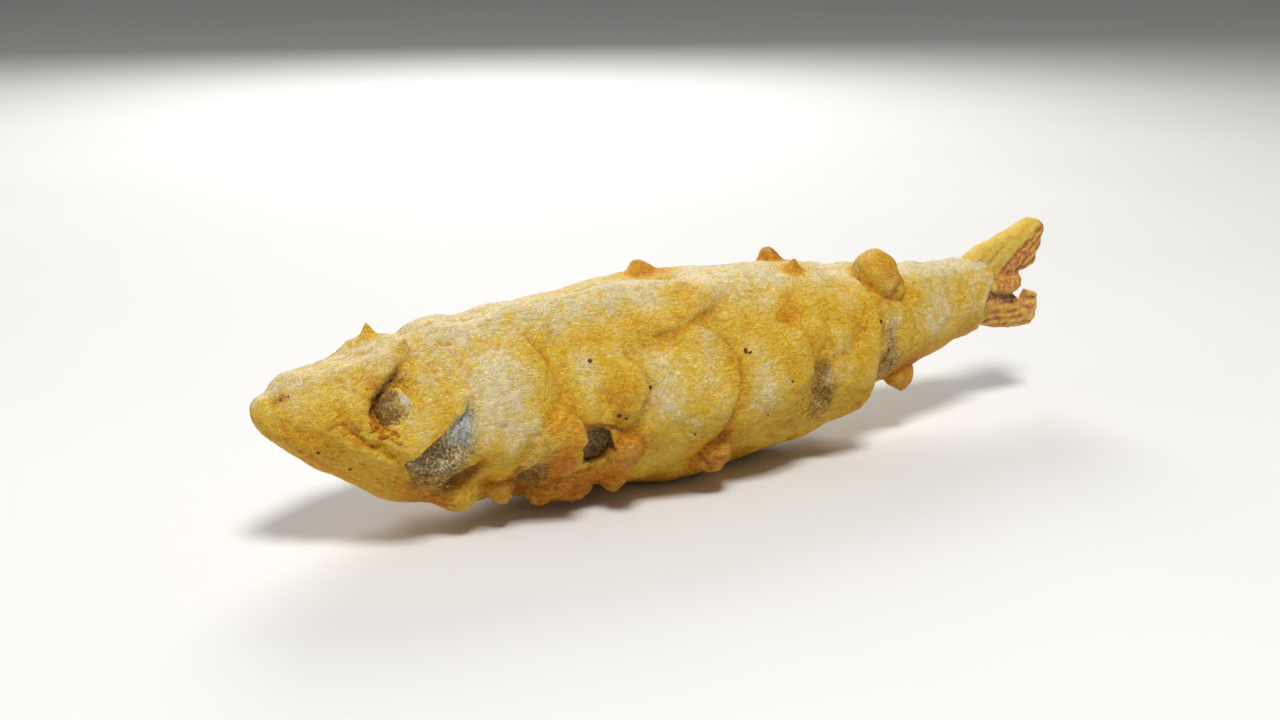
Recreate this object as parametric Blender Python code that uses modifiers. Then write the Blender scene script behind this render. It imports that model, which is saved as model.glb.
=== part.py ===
"""Fried whitebait: a small whole fish in a lumpy coat of batter, standing on its belly.

The head points to -X, the back is up (+Z) and the fish's left side faces -Y. The origin is on the
table, halfway along the fish. The batter coat is one solid round a fish that runs through it: the
fish shows at the gills, at two holes over the belly, in the eye sockets and as the bare fried tail.
Sizes below are millimetres, and angles are degrees round the body from the middle of the back,
positive down the left side and negative down the right side.
"""

import math

import bmesh
import bpy
import numpy as np
from mathutils import Matrix, Vector, noise

MM = 0.001

# Driving sizes of the whole fish
LENGTH = 90.0
SNOUT_X = -LENGTH / 2
TAIL_X = LENGTH / 2
COAT_END_X = 35.8
SIDE_TO_HEIGHT = 0.93  # half width over half height of every section

# The body's outline: place along the fish, top of the back and bottom of the belly
BODY = [
    (-45.0, 13.4, 13.0),
    (-44.0, 14.7, 10.8),
    (-42.0, 15.6, 9.0),
    (-38.0, 16.6, 6.0),
    (-32.0, 17.8, 2.6),
    (-24.0, 18.6, 1.3),
    (-14.0, 19.3, 0.8),
    (-3.0, 19.7, -0.1),
    (8.0, 19.5, 0.9),
    (15.0, 18.9, 2.9),
    (20.0, 18.0, 4.9),
    (25.0, 17.3, 6.2),
    (30.0, 16.9, 7.7),
    (34.0, 16.8, 8.7),
    (37.2, 16.7, 9.1),
]

# Thickness of the coat over the fish, and the air left between touching solids
COAT_THICKNESS = 1.9
GILL_BULGE = 1.1  # the fish's gill covers stand out this far, up to the openings in the coat
GAP = 0.3

# Lobes of batter: (x, angle, half length, half breadth, height, turn, lean, power)
# A lobe leans its thick, crisp edge towards its turn. A power of 0.5 gives a steep rim, 2 a soft one.
LOBES_LEFT = {
    "cheek": (-35.4, 68, 5.4, 5.8, 1.1, 45, 1.0, 0.45),
    "neck": (-26.6, 84, 4.8, 6.6, 0.9, 40, 0.7, 0.6),
    "throat": (-28.6, 141, 2.9, 2.5, 1.0, 0, 0.0, 0.7),
    "flap": (-20.9, 106, 3.0, 3.9, 1.6, 8, 1.0, 0.4),
    "under_flap": (-19.6, 146, 3.6, 2.6, 0.7, 0, 0.0, 0.8),
    "oblong": (-13.8, 80, 1.6, 2.7, 1.2, -12, 0.2, 0.5),
    "hole_ball": (-13.6, 113, 1.7, 1.7, 0.8, 0, 0.0, 0.5),
    "belly_bead": (-13.0, 146, 1.5, 1.6, 0.9, 0, 0.0, 0.6),
    "middle": (-8.3, 86, 5.8, 6.6, 1.9, -4, 1.0, 0.42),
    "shoulder": (-6.6, 42, 5.4, 4.0, 1.1, 50, 0.6, 0.7),
    "flank": (0.6, 88, 5.4, 6.8, 1.2, 5, 0.8, 0.5),
    "rear_top": (9.6, 58, 4.4, 5.0, 0.8, 30, 0.5, 0.6),
    "rear": (12.2, 104, 3.7, 5.4, 1.1, 0, 0.6, 0.6),
}
LOBES_RIGHT = {
    "cheek": (-35.4, -68, 5.4, 5.8, 1.1, -45, 1.0, 0.45),
    "neck": (-26.2, -88, 5.0, 6.2, 0.9, -30, 0.7, 0.6),
    "throat": (-29.0, -138, 3.1, 2.4, 0.7, 0, 0.0, 0.8),
    "front": (-18.2, -78, 5.2, 5.4, 1.5, -20, 0.9, 0.45),
    "front_low": (-19.0, -132, 4.4, 3.6, 0.8, 10, 0.4, 0.7),
    "middle": (-6.4, -92, 6.1, 6.0, 1.6, 12, 0.9, 0.45),
    "shoulder": (-6.8, -42, 5.8, 3.6, 0.8, -50, 0.6, 0.8),
    "low": (-6.0, -141, 4.6, 2.8, 0.8, 0, 0.3, 0.7),
    "flank": (4.4, -74, 4.8, 5.6, 1.2, -15, 0.8, 0.5),
    "flank_low": (5.4, -121, 4.6, 4.2, 0.7, 20, 0.6, 0.6),
    "rear": (11.9, -93, 4.0, 5.6, 1.1, 0, 0.6, 0.6),
}

# Soft swells and dips: (x, angle, half length, half breadth, height)
SWELLS = {
    "forehead_flat": (-37.5, 0, 5.0, 2.6, -0.4),
    "snout_notch": (-43.2, 0, 1.0, 2.5, -0.25),
    "gill_dip_left": (-31.2, 98, 2.3, 3.4, -0.8),
    "gill_dip_right": (-31.2, -98, 2.3, 3.4, -0.8),
    "throat_dip_left": (-23.8, 138, 2.2, 3.0, -1.1),
    "throat_dip_right": (-24.2, -141, 2.4, 2.6, -0.9),
    "flap_dip": (-21.8, 122, 2.6, 2.4, -1.0),
    "hole_dip_left": (-16.8, 104, 2.4, 2.2, -0.5),
    "hole_dip_right": (-12.2, -116, 2.4, 2.2, -0.5),
    "flank_patch_left": (8.0, 104, 1.9, 3.6, -0.8),
    "flank_patch_right": (9.2, -112, 1.8, 3.0, -0.7),
    "back_swell_1": (-29.2, 19, 2.0, 1.6, 0.5),
    "back_swell_2": (-20.6, 21, 2.4, 1.5, 0.4),
    "back_swell_3": (-12.4, 20, 2.2, 1.6, 0.5),
    "back_swell_4": (-3.4, 29, 2.4, 2.0, 0.5),
    "back_swell_5": (-28.2, -20, 2.2, 1.6, 0.3),
    "back_swell_6": (-17.6, -20, 2.4, 1.5, 0.5),
    "back_dip": (-25.2, 4, 2.4, 1.8, -0.4),
    "belly_flat": (-3.5, 180, 6.5, 4.5, 0.7),
    "dent_left": (4.4, 55, 0.9, 1.1, -0.6),
    "dent_right": (-1.4, -60, 1.0, 1.2, -0.6),
}

# Raised ridges and sunk creases that follow a line: (points, half breadth, height)
RIDGES = {
    "back_left": ([(-31.5, 22), (-27.0, 19), (-21.0, 20), (-12.0, 20), (-5.3, 22), (-1.0, 27)], 1.5, 0.75),
    "back_right": ([(-30.0, -22), (-24.0, -19), (-17.0, -21), (-8.0, -21), (0.5, -26)], 1.5, 0.75),
    "furrow": ([(-37.0, 0), (-24.0, 1), (-12.0, 0), (-4.0, -1)], 1.2, -0.8),
    "brow_left": ([(-32.8, 30), (-34.6, 42), (-36.9, 56), (-37.7, 76), (-36.6, 96)], 0.8, 0.75),
    "brow_right": ([(-32.8, -30), (-34.6, -42), (-36.9, -56), (-37.7, -76), (-36.6, -96)], 0.8, 0.75),
    "snout_edge_left": ([(-42.6, 24), (-39.5, 27), (-36.0, 27), (-33.4, 27)], 0.7, 0.35),
    "snout_edge_right": ([(-42.6, -24), (-39.5, -27), (-36.0, -27), (-33.4, -27)], 0.7, 0.35),
    "throat_fold_left": ([(-27.2, 106), (-29.2, 120), (-30.8, 143)], 0.55, -0.5),
    "throat_fold_right": ([(-27.4, -104), (-29.4, -121), (-31.0, -141)], 0.55, -0.5),
    "flank_fold_left": ([(9.8, 72), (7.6, 84), (6.6, 95)], 0.5, -0.45),
    "flank_fold_right": ([(0.6, -96), (2.6, -108), (1.4, -124)], 0.5, -0.45),
}

# The lip where the thick coat ends and the thin coat of the tail stalk begins
LIP_X = 15.6
LIP_HEIGHT = 0.55
LIP_ROLL = 3.0  # length of the thickening in front of the lip
LIP_FALL = 0.35  # length in which the surface falls at the lip
LIP_DROP = 0.35
LIP_HOLLOW = 6.0  # length behind the lip over which the thin coat stays lower

# Beads, spikes and drips of batter:
# (x, angle, sunk depth, half length, half breadth, height, pointedness, tilt to +X, tilt to +Z)
BLOBS = {
    "spike_left": (-32.7, 27, 0.5, 1.5, 1.2, 2.1, 1.0, 0.0, 0.25),
    "spike_right": (-33.0, -27, 0.5, 1.5, 1.2, 1.9, 1.0, 0.0, 0.25),
    "back_bump_left": (-5.3, 22, 0.8, 1.7, 1.2, 1.9, 0.7, 0.0, 0.2),
    "back_bump_right": (-5.2, -22, 0.8, 1.9, 1.2, 2.2, 0.7, 0.0, 0.2),
    "knob_left": (9.3, 14, 0.6, 1.4, 1.2, 1.9, 0.7, 0.0, 0.0),
    "knob_right": (9.5, -15, 0.6, 1.6, 1.4, 2.1, 0.4, 0.0, 0.0),
    "ball": (19.6, 27, 0.0, 2.6, 2.5, 2.7, 0.0, 0.0, 0.2),
    "ball_foot": (21.0, 41, 0.5, 1.5, 1.3, 1.2, 0.0, 0.0, 0.0),
    "stalk_drip": (23.0, 145, 0.3, 1.7, 1.5, 2.1, 0.15, 0.2, -0.5),
    "throat_drip": (-24.8, 137, 0.4, 1.4, 1.3, 1.8, 0.45, 0.0, -0.4),
    "belly_lump": (-20.9, 151, 0.5, 1.9, 1.4, 1.6, 0.2, 0.0, -0.2),
    "belly_roll": (-17.2, 150, 0.6, 2.6, 1.4, 1.7, 0.0, 0.0, -0.2),
    "belly_bead": (-13.0, 147, 0.4, 1.4, 1.1, 1.4, 0.2, 0.0, -0.2),
    "pinch": (-3.9, 124, 0.4, 2.1, 2.4, 2.2, 0.1, 0.1, -0.3),
    "pinch_tip": (-3.4, 135, 0.2, 1.4, 1.3, 1.7, 0.2, 0.0, -0.6),
    "side_bead_right": (-12.4, -64, 0.6, 1.5, 1.9, 1.5, 0.0, 0.0, 0.0),
    "belly_drip_right": (-2.2, -136, 0.4, 1.3, 1.2, 1.8, 0.5, 0.0, -0.4),
    "low_bead_right": (-17.4, -147, 0.4, 1.3, 1.1, 1.3, 0.2, 0.0, -0.2),
    "stalk_bead_right": (19.4, -96, 0.5, 1.5, 1.4, 1.5, 0.1, 0.0, 0.0),
}

# Openings in the coat: corners as (x, angle)
WINDOWS = {
    "gill_left": [(-29.8, 77), (-32.3, 92), (-34.0, 107), (-32.2, 121), (-30.1, 108), (-28.4, 92)],
    "gill_right": [(-29.8, -77), (-32.3, -92), (-34.0, -107), (-32.2, -121), (-30.1, -108), (-28.4, -92)],
    "belly_hole_left": [(-18.4, 95), (-18.4, 111), (-16.9, 114), (-15.4, 112), (-14.9, 101), (-16.6, 96)],
    "belly_hole_right": [(-13.6, -109), (-13.4, -121), (-12.0, -124), (-10.8, -119), (-10.9, -109)],
}
WINDOW_OVERRUN = 0.8  # how far the openings reach past the coat, inwards and outwards
WINDOW_REACH = 3.0

# Eyes
EYE_X = -34.3
EYE_ANGLE = 66.0
EYE_RADIUS = 1.5
EYE_SINK = 1.35  # the ball's centre below the body's outline
SOCKET_RADIUS = EYE_RADIUS + GAP
EYE_HOLE_X = -34.8  # the opening in the coat is wider than the ball and lies a little lower
EYE_HOLE_ANGLE = 71.0
EYE_HOLE_RADIUS = 2.2

# Soft random swelling of the coat, its wavelength, and the length of snout that stays smooth
UNEVENNESS = 0.3
UNEVEN_LENGTH = 4.2
SMOOTH_SNOUT = 4.0

# Bare tail: the root inside the coat and two blades, each a run of (x, z, half height, half thickness)
ROOT_HALF_HEIGHT = 2.6
ROOT_HALF_THICKNESS = 1.3
UPPER_BLADE = [
    (33.0, 13.9, 1.6, 1.1),
    (36.5, 15.7, 2.2, 1.3),
    (39.0, 16.9, 2.5, 1.1),
    (41.2, 17.5, 2.6, 0.95),
    (43.4, 18.3, 2.1, 0.8),
    (44.7, 18.5, 1.5, 0.65),
]
LOWER_BLADE = [
    (33.0, 11.9, 1.2, 1.1),
    (36.5, 11.3, 1.3, 1.4),
    (38.0, 10.4, 1.6, 1.5),
    (41.4, 9.9, 1.5, 1.4),
    (43.1, 9.9, 1.5, 1.2),
    (44.1, 10.4, 1.1, 0.8),
]
TAIL_BEADS = {  # (x, y, z, half length, half thickness, half height)
    "nub": (40.1, -0.8, 13.6, 1.5, 1.0, 1.05),
    "web": (39.0, 0.0, 13.3, 2.3, 0.9, 2.6),
    "hook": (43.7, -0.2, 11.3, 0.75, 0.7, 1.0),
    "tip": (44.2, 0.0, 19.6, 0.9, 0.6, 0.9),
    "fringe": (43.5, 0.1, 15.8, 0.9, 0.6, 1.2),
}

# The fish inside: where its rounded front and its slim tail root begin, and the sections of that root
CORE_FRONT_X = -43.2
CORE_END_X = 31.0
ROOT_SECTIONS_X = (33.5, 36.0, 38.2)

# How finely each solid is made: rings along it, points round a ring, fusing size and share of faces kept
COAT_RINGS = 220
COAT_AROUND = 110
CORE_RINGS = 30
CORE_AROUND = 24
COAT_VOXEL = 0.42
COAT_SHARE_KEPT = 0.105
FISH_VOXEL = 0.45
FISH_SHARE_KEPT = 0.05


def clear_scene():
    for obj in list(bpy.data.objects):
        bpy.data.objects.remove(obj, do_unlink=True)


def new_collection(name, hidden=False):
    collection = bpy.data.collections.new(name)
    bpy.context.scene.collection.children.link(collection)
    collection.hide_render = hidden
    return collection


def material(name, colour, roughness):
    made = bpy.data.materials.new(name)
    made.use_nodes = True
    shader = made.node_tree.nodes["Principled BSDF"]
    shader.inputs["Base Color"].default_value = (*colour, 1.0)
    shader.inputs["Roughness"].default_value = roughness
    shader.inputs["Metallic"].default_value = 0.0
    return made


def smooth_run(stations, column, x):
    """A smooth line through one column of the stations, read at x, that starts blunt at the snout."""
    table = np.array(stations)
    knots = np.sqrt(table[:, 0] - table[0, 0])
    values = table[:, column]
    slopes = np.gradient(values, knots)
    at = np.sqrt(np.clip(np.asarray(x, float) - table[0, 0], 0.0, None))
    i = np.clip(np.searchsorted(knots, at) - 1, 0, len(knots) - 2)
    span = knots[i + 1] - knots[i]
    t = np.clip((at - knots[i]) / span, 0.0, 1.0)
    rise = (1 - t) ** 2 * (1 + 2 * t) * values[i] + t**2 * (3 - 2 * t) * values[i + 1]
    return rise + span * ((1 - t) ** 2 * t * slopes[i] - t**2 * (1 - t) * slopes[i + 1])


def section(x):
    """Centre height, half height and half width of the plain body at x."""
    top = smooth_run(BODY, 1, x)
    bottom = smooth_run(BODY, 2, x)
    half_height = np.maximum((top - bottom) / 2, 0.05)
    return (top + bottom) / 2, half_height, half_height * SIDE_TO_HEIGHT


def wrap(degrees):
    return (degrees + 180.0) % 360.0 - 180.0


def local_place(x, angle, x0, angle0, turn=0.0):
    """Distances along the body and round it from a feature's centre, in its own turned axes."""
    _, half_height, half_width = section(x)
    along = x - x0
    around = np.radians(wrap(angle - angle0)) * (half_height + half_width) / 2
    c, s = math.cos(math.radians(turn)), math.sin(math.radians(turn))
    return along * c + around * s, around * c - along * s


def lobe_height(x, angle, lobe):
    """Height of one lobe. Leaning moves its top towards its turn, where its rim then drops steeply."""
    x0, angle0, half_length, half_breadth, height, turn, lean, power = lobe
    u, v = local_place(x, angle, x0, angle0, turn)
    u, v = u / half_length, v / half_breadth
    dome = np.clip(1.0 - u**2 - v**2, 0.0, None) ** power
    return height * dome * np.clip(1.0 + lean * u, 0.0, None) / (1.0 + abs(lean) * 0.6)


def line_distance(x, angle, points):
    """Distance on the unrolled skin from (x, angle) to a line of points."""
    best = np.full(np.shape(x), 1e9)
    for (xa, aa), (xb, ab) in zip(points, points[1:]):
        _, half_height, half_width = section(x)
        radius = (half_height + half_width) / 2
        px, py = x - xa, np.radians(wrap(angle - aa)) * radius
        dx, dy = xb - xa, np.radians(ab - aa) * radius
        t = np.clip((px * dx + py * dy) / (dx * dx + dy * dy), 0.0, 1.0)
        best = np.minimum(best, np.hypot(px - t * dx, py - t * dy))
    return best


def unevenness(x, angle):
    """Soft random swelling of the batter, between about -1 and 1."""
    places = skin_points(x, angle, 0.0) / UNEVEN_LENGTH
    return np.array([noise.noise(Vector(p)) for p in places.reshape(-1, 3)]).reshape(np.shape(x))


def relief(x, angle):
    """Height of the batter's lobes, ridges, dips and lip over the plain body."""
    lobes = [*LOBES_LEFT.values(), *LOBES_RIGHT.values()]
    height = np.zeros(np.shape(x))
    for lobe in lobes:
        height = np.maximum(height, lobe_height(x, angle, lobe))
    for x0, angle0, half_length, half_breadth, rise in SWELLS.values():
        u, v = local_place(x, angle, x0, angle0)
        height = height + rise * np.exp(-((u / half_length) ** 2 + (v / half_breadth) ** 2))
    for points, half_breadth, rise in RIDGES.values():
        height = height + rise * np.exp(-((line_distance(x, angle, points) / half_breadth) ** 2))
    past_lip = np.clip((x - LIP_X) / LIP_FALL, 0.0, 1.0)
    before_lip = np.exp(-((np.minimum(x - LIP_X, 0.0) / LIP_ROLL) ** 2))
    height = height + LIP_HEIGHT * before_lip * (1 - past_lip)
    height = height - LIP_DROP * past_lip * np.exp(-(((x - LIP_X) / LIP_HOLLOW) ** 2))
    return height + UNEVENNESS * unevenness(x, angle) * np.clip((x - SNOUT_X) / SMOOTH_SNOUT, 0.0, 1.0)


def skin_points(x, angle, out):
    """Points of the body's surface at x and angle, moved out from it by out."""
    centre, half_height, half_width = section(x)
    turn = np.radians(angle)
    across, up = np.sin(turn), np.cos(turn)
    length = np.sqrt((across / half_width) ** 2 + (up / half_height) ** 2)
    y = -(half_width * across + out * across / half_width / length)
    z = centre + half_height * up + out * up / half_height / length
    return np.stack([x * np.ones_like(y), y, z], axis=-1)


def point_and_normal(x, angle, out=0.0):
    here = Vector(skin_points(np.float64(x), np.float64(angle), out))
    beyond = Vector(skin_points(np.float64(x), np.float64(angle), out + 1.0))
    return here, (beyond - here).normalized()


def link_mesh(name, bm, collection, colour=None):
    mesh = bpy.data.meshes.new(name)
    bmesh.ops.recalc_face_normals(bm, faces=bm.faces)
    bm.to_mesh(mesh)
    bm.free()
    obj = bpy.data.objects.new(name, mesh)
    collection.objects.link(obj)
    if colour:
        mesh.materials.append(colour)
    return obj


def loft(name, rings, collection, colour=None):
    """A closed solid through rings of points, each ring the same count, with both ends capped."""
    bm = bmesh.new()
    loops = [[bm.verts.new(Vector(p) * MM) for p in ring] for ring in rings]
    for first, second in zip(loops, loops[1:]):
        for k in range(len(first)):
            nxt = (k + 1) % len(first)
            bm.faces.new((first[k], first[nxt], second[nxt], second[k]))
    bm.faces.new(loops[0])
    bm.faces.new(loops[-1][::-1])
    return link_mesh(name, bm, collection, colour)


def body_rings(start, end, count, around, out):
    """Rings of the body from start to end. out(x, angle) is how far each point stands off it."""
    angles = np.arange(around) * 360.0 / around
    rings = []
    for t in np.linspace(0.0, 1.0, count):
        x = start + (end - start) * t
        xs = np.full(around, x)
        rings.append(skin_points(xs, angles, out(xs, angles)))
    return rings


def blob(name, x, angle, sunk, half_length, half_breadth, height, pointed, tilt_x, tilt_z, collection):
    """A rounded or pointed bead of batter that stands on the body at (x, angle)."""
    base, normal = point_and_normal(x, angle, -sunk)
    up = (normal + Vector((tilt_x, 0.0, tilt_z))).normalized()
    along = (Vector((1.0, 0.0, 0.0)) - up * up.x).normalized()
    turn = Matrix((along, up.cross(along), up)).transposed()
    bm = bmesh.new()
    bmesh.ops.create_icosphere(bm, subdivisions=4, radius=1.0)
    for vert in bm.verts:
        p = vert.co
        rise = max(p.z, 0.0)
        slim = 1.0 - pointed * 0.75 * rise**0.8
        local = Vector((p.x * half_length * slim, p.y * half_breadth * slim, p.z * height))
        vert.co = (base + turn @ local) * MM
    return link_mesh(name, bm, collection)


def window(name, corners, collection):
    """A prism that cuts one opening through the coat, from outside the batter down to the fish."""
    middle_x = sum(c[0] for c in corners) / len(corners)
    middle_angle = sum(c[1] for c in corners) / len(corners)
    _, normal = point_and_normal(middle_x, middle_angle)
    inner, outer = [], []
    for x, angle in corners:
        on_skin, _ = point_and_normal(x, angle)
        inner.append(on_skin - normal * (COAT_THICKNESS + WINDOW_OVERRUN))
        outer.append(on_skin + normal * WINDOW_REACH)
    return loft(name, [inner, outer], collection)


def ball(name, centre, radii, collection, colour=None, subdivisions=3):
    bm = bmesh.new()
    bmesh.ops.create_icosphere(bm, subdivisions=subdivisions, radius=1.0)
    for vert in bm.verts:
        vert.co = Vector((centre[k] + vert.co[k] * radii[k]) * MM for k in range(3))
    return link_mesh(name, bm, collection, colour)


def blade(name, stations, collection, grow=0.0, around=20):
    """One blade of the tail, lofted from flat oval sections."""
    rings = []
    for x, z, half_height, half_thickness in stations:
        turns = [2 * math.pi * k / around for k in range(around)]
        high, wide = half_height + grow, half_thickness + grow
        rings.append([(x, wide * math.sin(t), z + high * math.cos(t)) for t in turns])
    return loft(name, rings, collection)


def tail_pieces(collection, grow):
    """The blades and the batter beads that hang on them, swelled by grow."""
    blade(f"upper_blade_{grow}", UPPER_BLADE, collection, grow)
    blade(f"lower_blade_{grow}", LOWER_BLADE, collection, grow)
    for name, (x, y, z, rx, ry, rz) in TAIL_BEADS.items():
        ball(f"{name}_{grow}", (x, y, z), (rx + grow, ry + grow, rz + grow), collection)


def fuse(obj, pieces, voxel, smoothing, share_kept):
    """Joins the pieces to the object, melts their seams as batter does, and thins the triangles."""
    union = obj.modifiers.new("join", "BOOLEAN")
    union.operation = "UNION"
    union.operand_type = "COLLECTION"
    union.collection = pieces
    union.solver = "EXACT"
    depsgraph = bpy.context.evaluated_depsgraph_get()
    mesh = bpy.data.meshes.new_from_object(obj.evaluated_get(depsgraph))
    obj.modifiers.remove(union)
    obj.data = mesh
    for piece in list(pieces.objects):
        bpy.data.objects.remove(piece, do_unlink=True)
    remesh = obj.modifiers.new("melt_together", "REMESH")
    remesh.mode = "VOXEL"
    remesh.voxel_size = voxel * MM
    smooth = obj.modifiers.new("soften", "SMOOTH")
    smooth.factor = 0.5
    smooth.iterations = smoothing
    decimate = obj.modifiers.new("thin_out", "DECIMATE")
    decimate.ratio = share_kept


def cut(obj, cutters):
    boolean = obj.modifiers.new("openings", "BOOLEAN")
    boolean.operation = "DIFFERENCE"
    boolean.operand_type = "COLLECTION"
    boolean.collection = cutters
    boolean.solver = "EXACT"


def core_inset(grow):
    """How far the fish lies inside the plain body. grow swells it, for its hollow in the coat."""

    def out(x, angle):
        inset = np.full(np.shape(x), grow - COAT_THICKNESS)
        for corners in (WINDOWS["gill_left"], WINDOWS["gill_right"]):
            middle = np.mean(corners, axis=0)
            u, v = local_place(x, angle, middle[0], middle[1])
            inset = inset + GILL_BULGE * np.exp(-((u / 4.0) ** 2) - (v / 4.5) ** 2)
        return inset

    return out


def core_rings(grow):
    """Rings of the fish under its coat, slimmer towards the tail root so that it clears the coat's collar."""
    rings = body_rings(CORE_FRONT_X - grow * 0.5, CORE_END_X, CORE_RINGS, CORE_AROUND, core_inset(grow))
    angles = np.radians(np.arange(CORE_AROUND) * 360.0 / CORE_AROUND)
    for x in ROOT_SECTIONS_X:
        centre, _, _ = section(min(x, COAT_END_X))
        y = -(ROOT_HALF_THICKNESS + grow) * np.sin(angles)
        z = float(centre) + (ROOT_HALF_HEIGHT + grow) * np.cos(angles)
        rings.append(np.stack([np.full(CORE_AROUND, x), y, z], axis=-1))
    return rings


def build_coat(collection, pieces, cutters, colour):
    rings = body_rings(SNOUT_X + 0.02, COAT_END_X, COAT_RINGS, COAT_AROUND, relief)
    coat = loft("batter_coat", rings, collection, colour)
    for name, shape in BLOBS.items():
        blob(name, *shape, pieces)
    fuse(coat, pieces, COAT_VOXEL, 2, COAT_SHARE_KEPT)
    loft("hollow", core_rings(GAP), cutters)
    tail_pieces(cutters, GAP)
    for name, corners in WINDOWS.items():
        window(name, corners, cutters)
    for side in (1, -1):
        centre, _ = point_and_normal(EYE_X, side * EYE_ANGLE, -EYE_SINK)
        outer, _ = point_and_normal(EYE_HOLE_X, side * EYE_HOLE_ANGLE, 0.1)
        ball(f"eye_ring_{side}", centre, [SOCKET_RADIUS] * 3, cutters)
        ball(f"eye_hole_{side}", outer, [EYE_HOLE_RADIUS] * 3, cutters)
    table = bmesh.new()
    bmesh.ops.create_cube(table, size=2 * LENGTH * MM)
    bmesh.ops.translate(table, vec=(0, 0, -LENGTH * MM), verts=table.verts)
    link_mesh("table", table, cutters)
    cut(coat, cutters)
    coat.data.shade_smooth()


def build_fish(collection, pieces, cutters, colour):
    fish = loft("fish", core_rings(0.0), collection, colour)
    tail_pieces(pieces, 0.0)
    fuse(fish, pieces, FISH_VOXEL, 2, FISH_SHARE_KEPT)
    for side in (1, -1):
        centre, _ = point_and_normal(EYE_X, side * EYE_ANGLE, -EYE_SINK)
        ball(f"socket_{side}", centre, [SOCKET_RADIUS] * 3, cutters)
    cut(fish, cutters)
    fish.data.shade_smooth()


def build_eyes(collection, colour):
    for side, word in ((1, "left"), (-1, "right")):
        centre, _ = point_and_normal(EYE_X, side * EYE_ANGLE, -EYE_SINK)
        eye = ball(f"eye_{word}", centre, [EYE_RADIUS] * 3, collection, colour)
        eye.data.shade_smooth()


def main():
    clear_scene()
    batter = material("fried_batter", (0.60, 0.37, 0.06), 0.55)
    flesh = material("fried_fish", (0.47, 0.20, 0.04), 0.5)
    pupil = material("cooked_eye", (0.42, 0.36, 0.25), 0.3)
    whitebait = new_collection("fried_whitebait")
    coat_cutters = new_collection("coat_cutters", hidden=True)
    fish_cutters = new_collection("fish_cutters", hidden=True)
    batter_pieces = new_collection("batter_pieces")
    fin_pieces = new_collection("fin_pieces")
    build_coat(whitebait, batter_pieces, coat_cutters, batter)
    build_fish(whitebait, fin_pieces, fish_cutters, flesh)
    build_eyes(whitebait, pupil)
    for cutters in (coat_cutters, fish_cutters):
        for obj in cutters.objects:
            obj.hide_render = True
            obj.display_type = "WIRE"


main()
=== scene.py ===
import math

import bmesh
import bpy
import numpy as np
from mathutils import Matrix, Vector, noise
from mathutils.bvhtree import BVHTree


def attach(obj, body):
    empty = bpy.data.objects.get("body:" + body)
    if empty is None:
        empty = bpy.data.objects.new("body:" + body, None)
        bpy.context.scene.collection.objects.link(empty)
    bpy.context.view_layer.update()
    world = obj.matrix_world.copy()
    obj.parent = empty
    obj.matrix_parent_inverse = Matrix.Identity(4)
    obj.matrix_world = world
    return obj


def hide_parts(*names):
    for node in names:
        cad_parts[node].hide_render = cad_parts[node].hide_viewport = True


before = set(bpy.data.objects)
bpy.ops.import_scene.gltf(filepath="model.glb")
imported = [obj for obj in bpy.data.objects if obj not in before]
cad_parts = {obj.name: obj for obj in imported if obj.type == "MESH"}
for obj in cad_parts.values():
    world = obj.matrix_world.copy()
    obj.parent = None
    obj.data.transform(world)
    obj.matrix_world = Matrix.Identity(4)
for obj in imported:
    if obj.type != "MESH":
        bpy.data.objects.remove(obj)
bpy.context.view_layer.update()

# Fried whitebait. Head towards -X, back up, left side towards -Y. Sizes are in millimetres and
# angles in degrees round the body from the middle of the back, positive down the left side.

mm = 0.001

# the body's shape, as in the solid model
bodyShape = {
    "snoutX": -45.0,
    "coatEndX": 35.8,
    "sideToHeight": 0.93,
    "stations": [  # place along the fish, top of the back, bottom of the belly
        (-45.0, 13.4, 13.0), (-44.0, 14.7, 10.8), (-42.0, 15.6, 9.0), (-38.0, 16.6, 6.0),
        (-32.0, 17.8, 2.6), (-24.0, 18.6, 1.3), (-14.0, 19.3, 0.8), (-3.0, 19.7, -0.1),
        (8.0, 19.5, 0.9), (15.0, 18.9, 2.9), (20.0, 18.0, 4.9), (25.0, 17.3, 6.2),
        (30.0, 16.9, 7.7), (34.0, 16.8, 8.7), (37.2, 16.7, 9.1),
    ],
    "thickness": 1.9,
    "lipX": 15.6, "lipHeight": 0.55, "lipRoll": 3.0, "lipFall": 0.35, "lipDrop": 0.35, "lipHollow": 6.0,
    "unevenness": 0.38, "unevenLength": 4.0, "lumps": 0.2, "lumpLength": 2.3, "smoothSnout": 4.0,
}


def mirrored(entries):
    # each spot or line, and the same on the other side of the body
    full = []
    for first, *rest in entries:
        if isinstance(first, list):
            other = ([(x, -angle) for x, angle in first], *rest)
        elif len(rest) > 4:
            other = (first, -rest[0], *rest[1:4], -rest[4], *rest[5:])
        else:
            other = (first, -rest[0], *rest[1:])
        full += [(first, *rest), other]
    return full


def onBothSides(table):
    # an entry whose name ends in Both stands for one on the left and its mirror image on the right
    full = {}
    for name, entry in table.items():
        if name.endswith("Both"):
            full[name[:-4] + "Left"], full[name[:-4] + "Right"] = mirrored([entry])
        else:
            full[name] = entry
    return full


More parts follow.
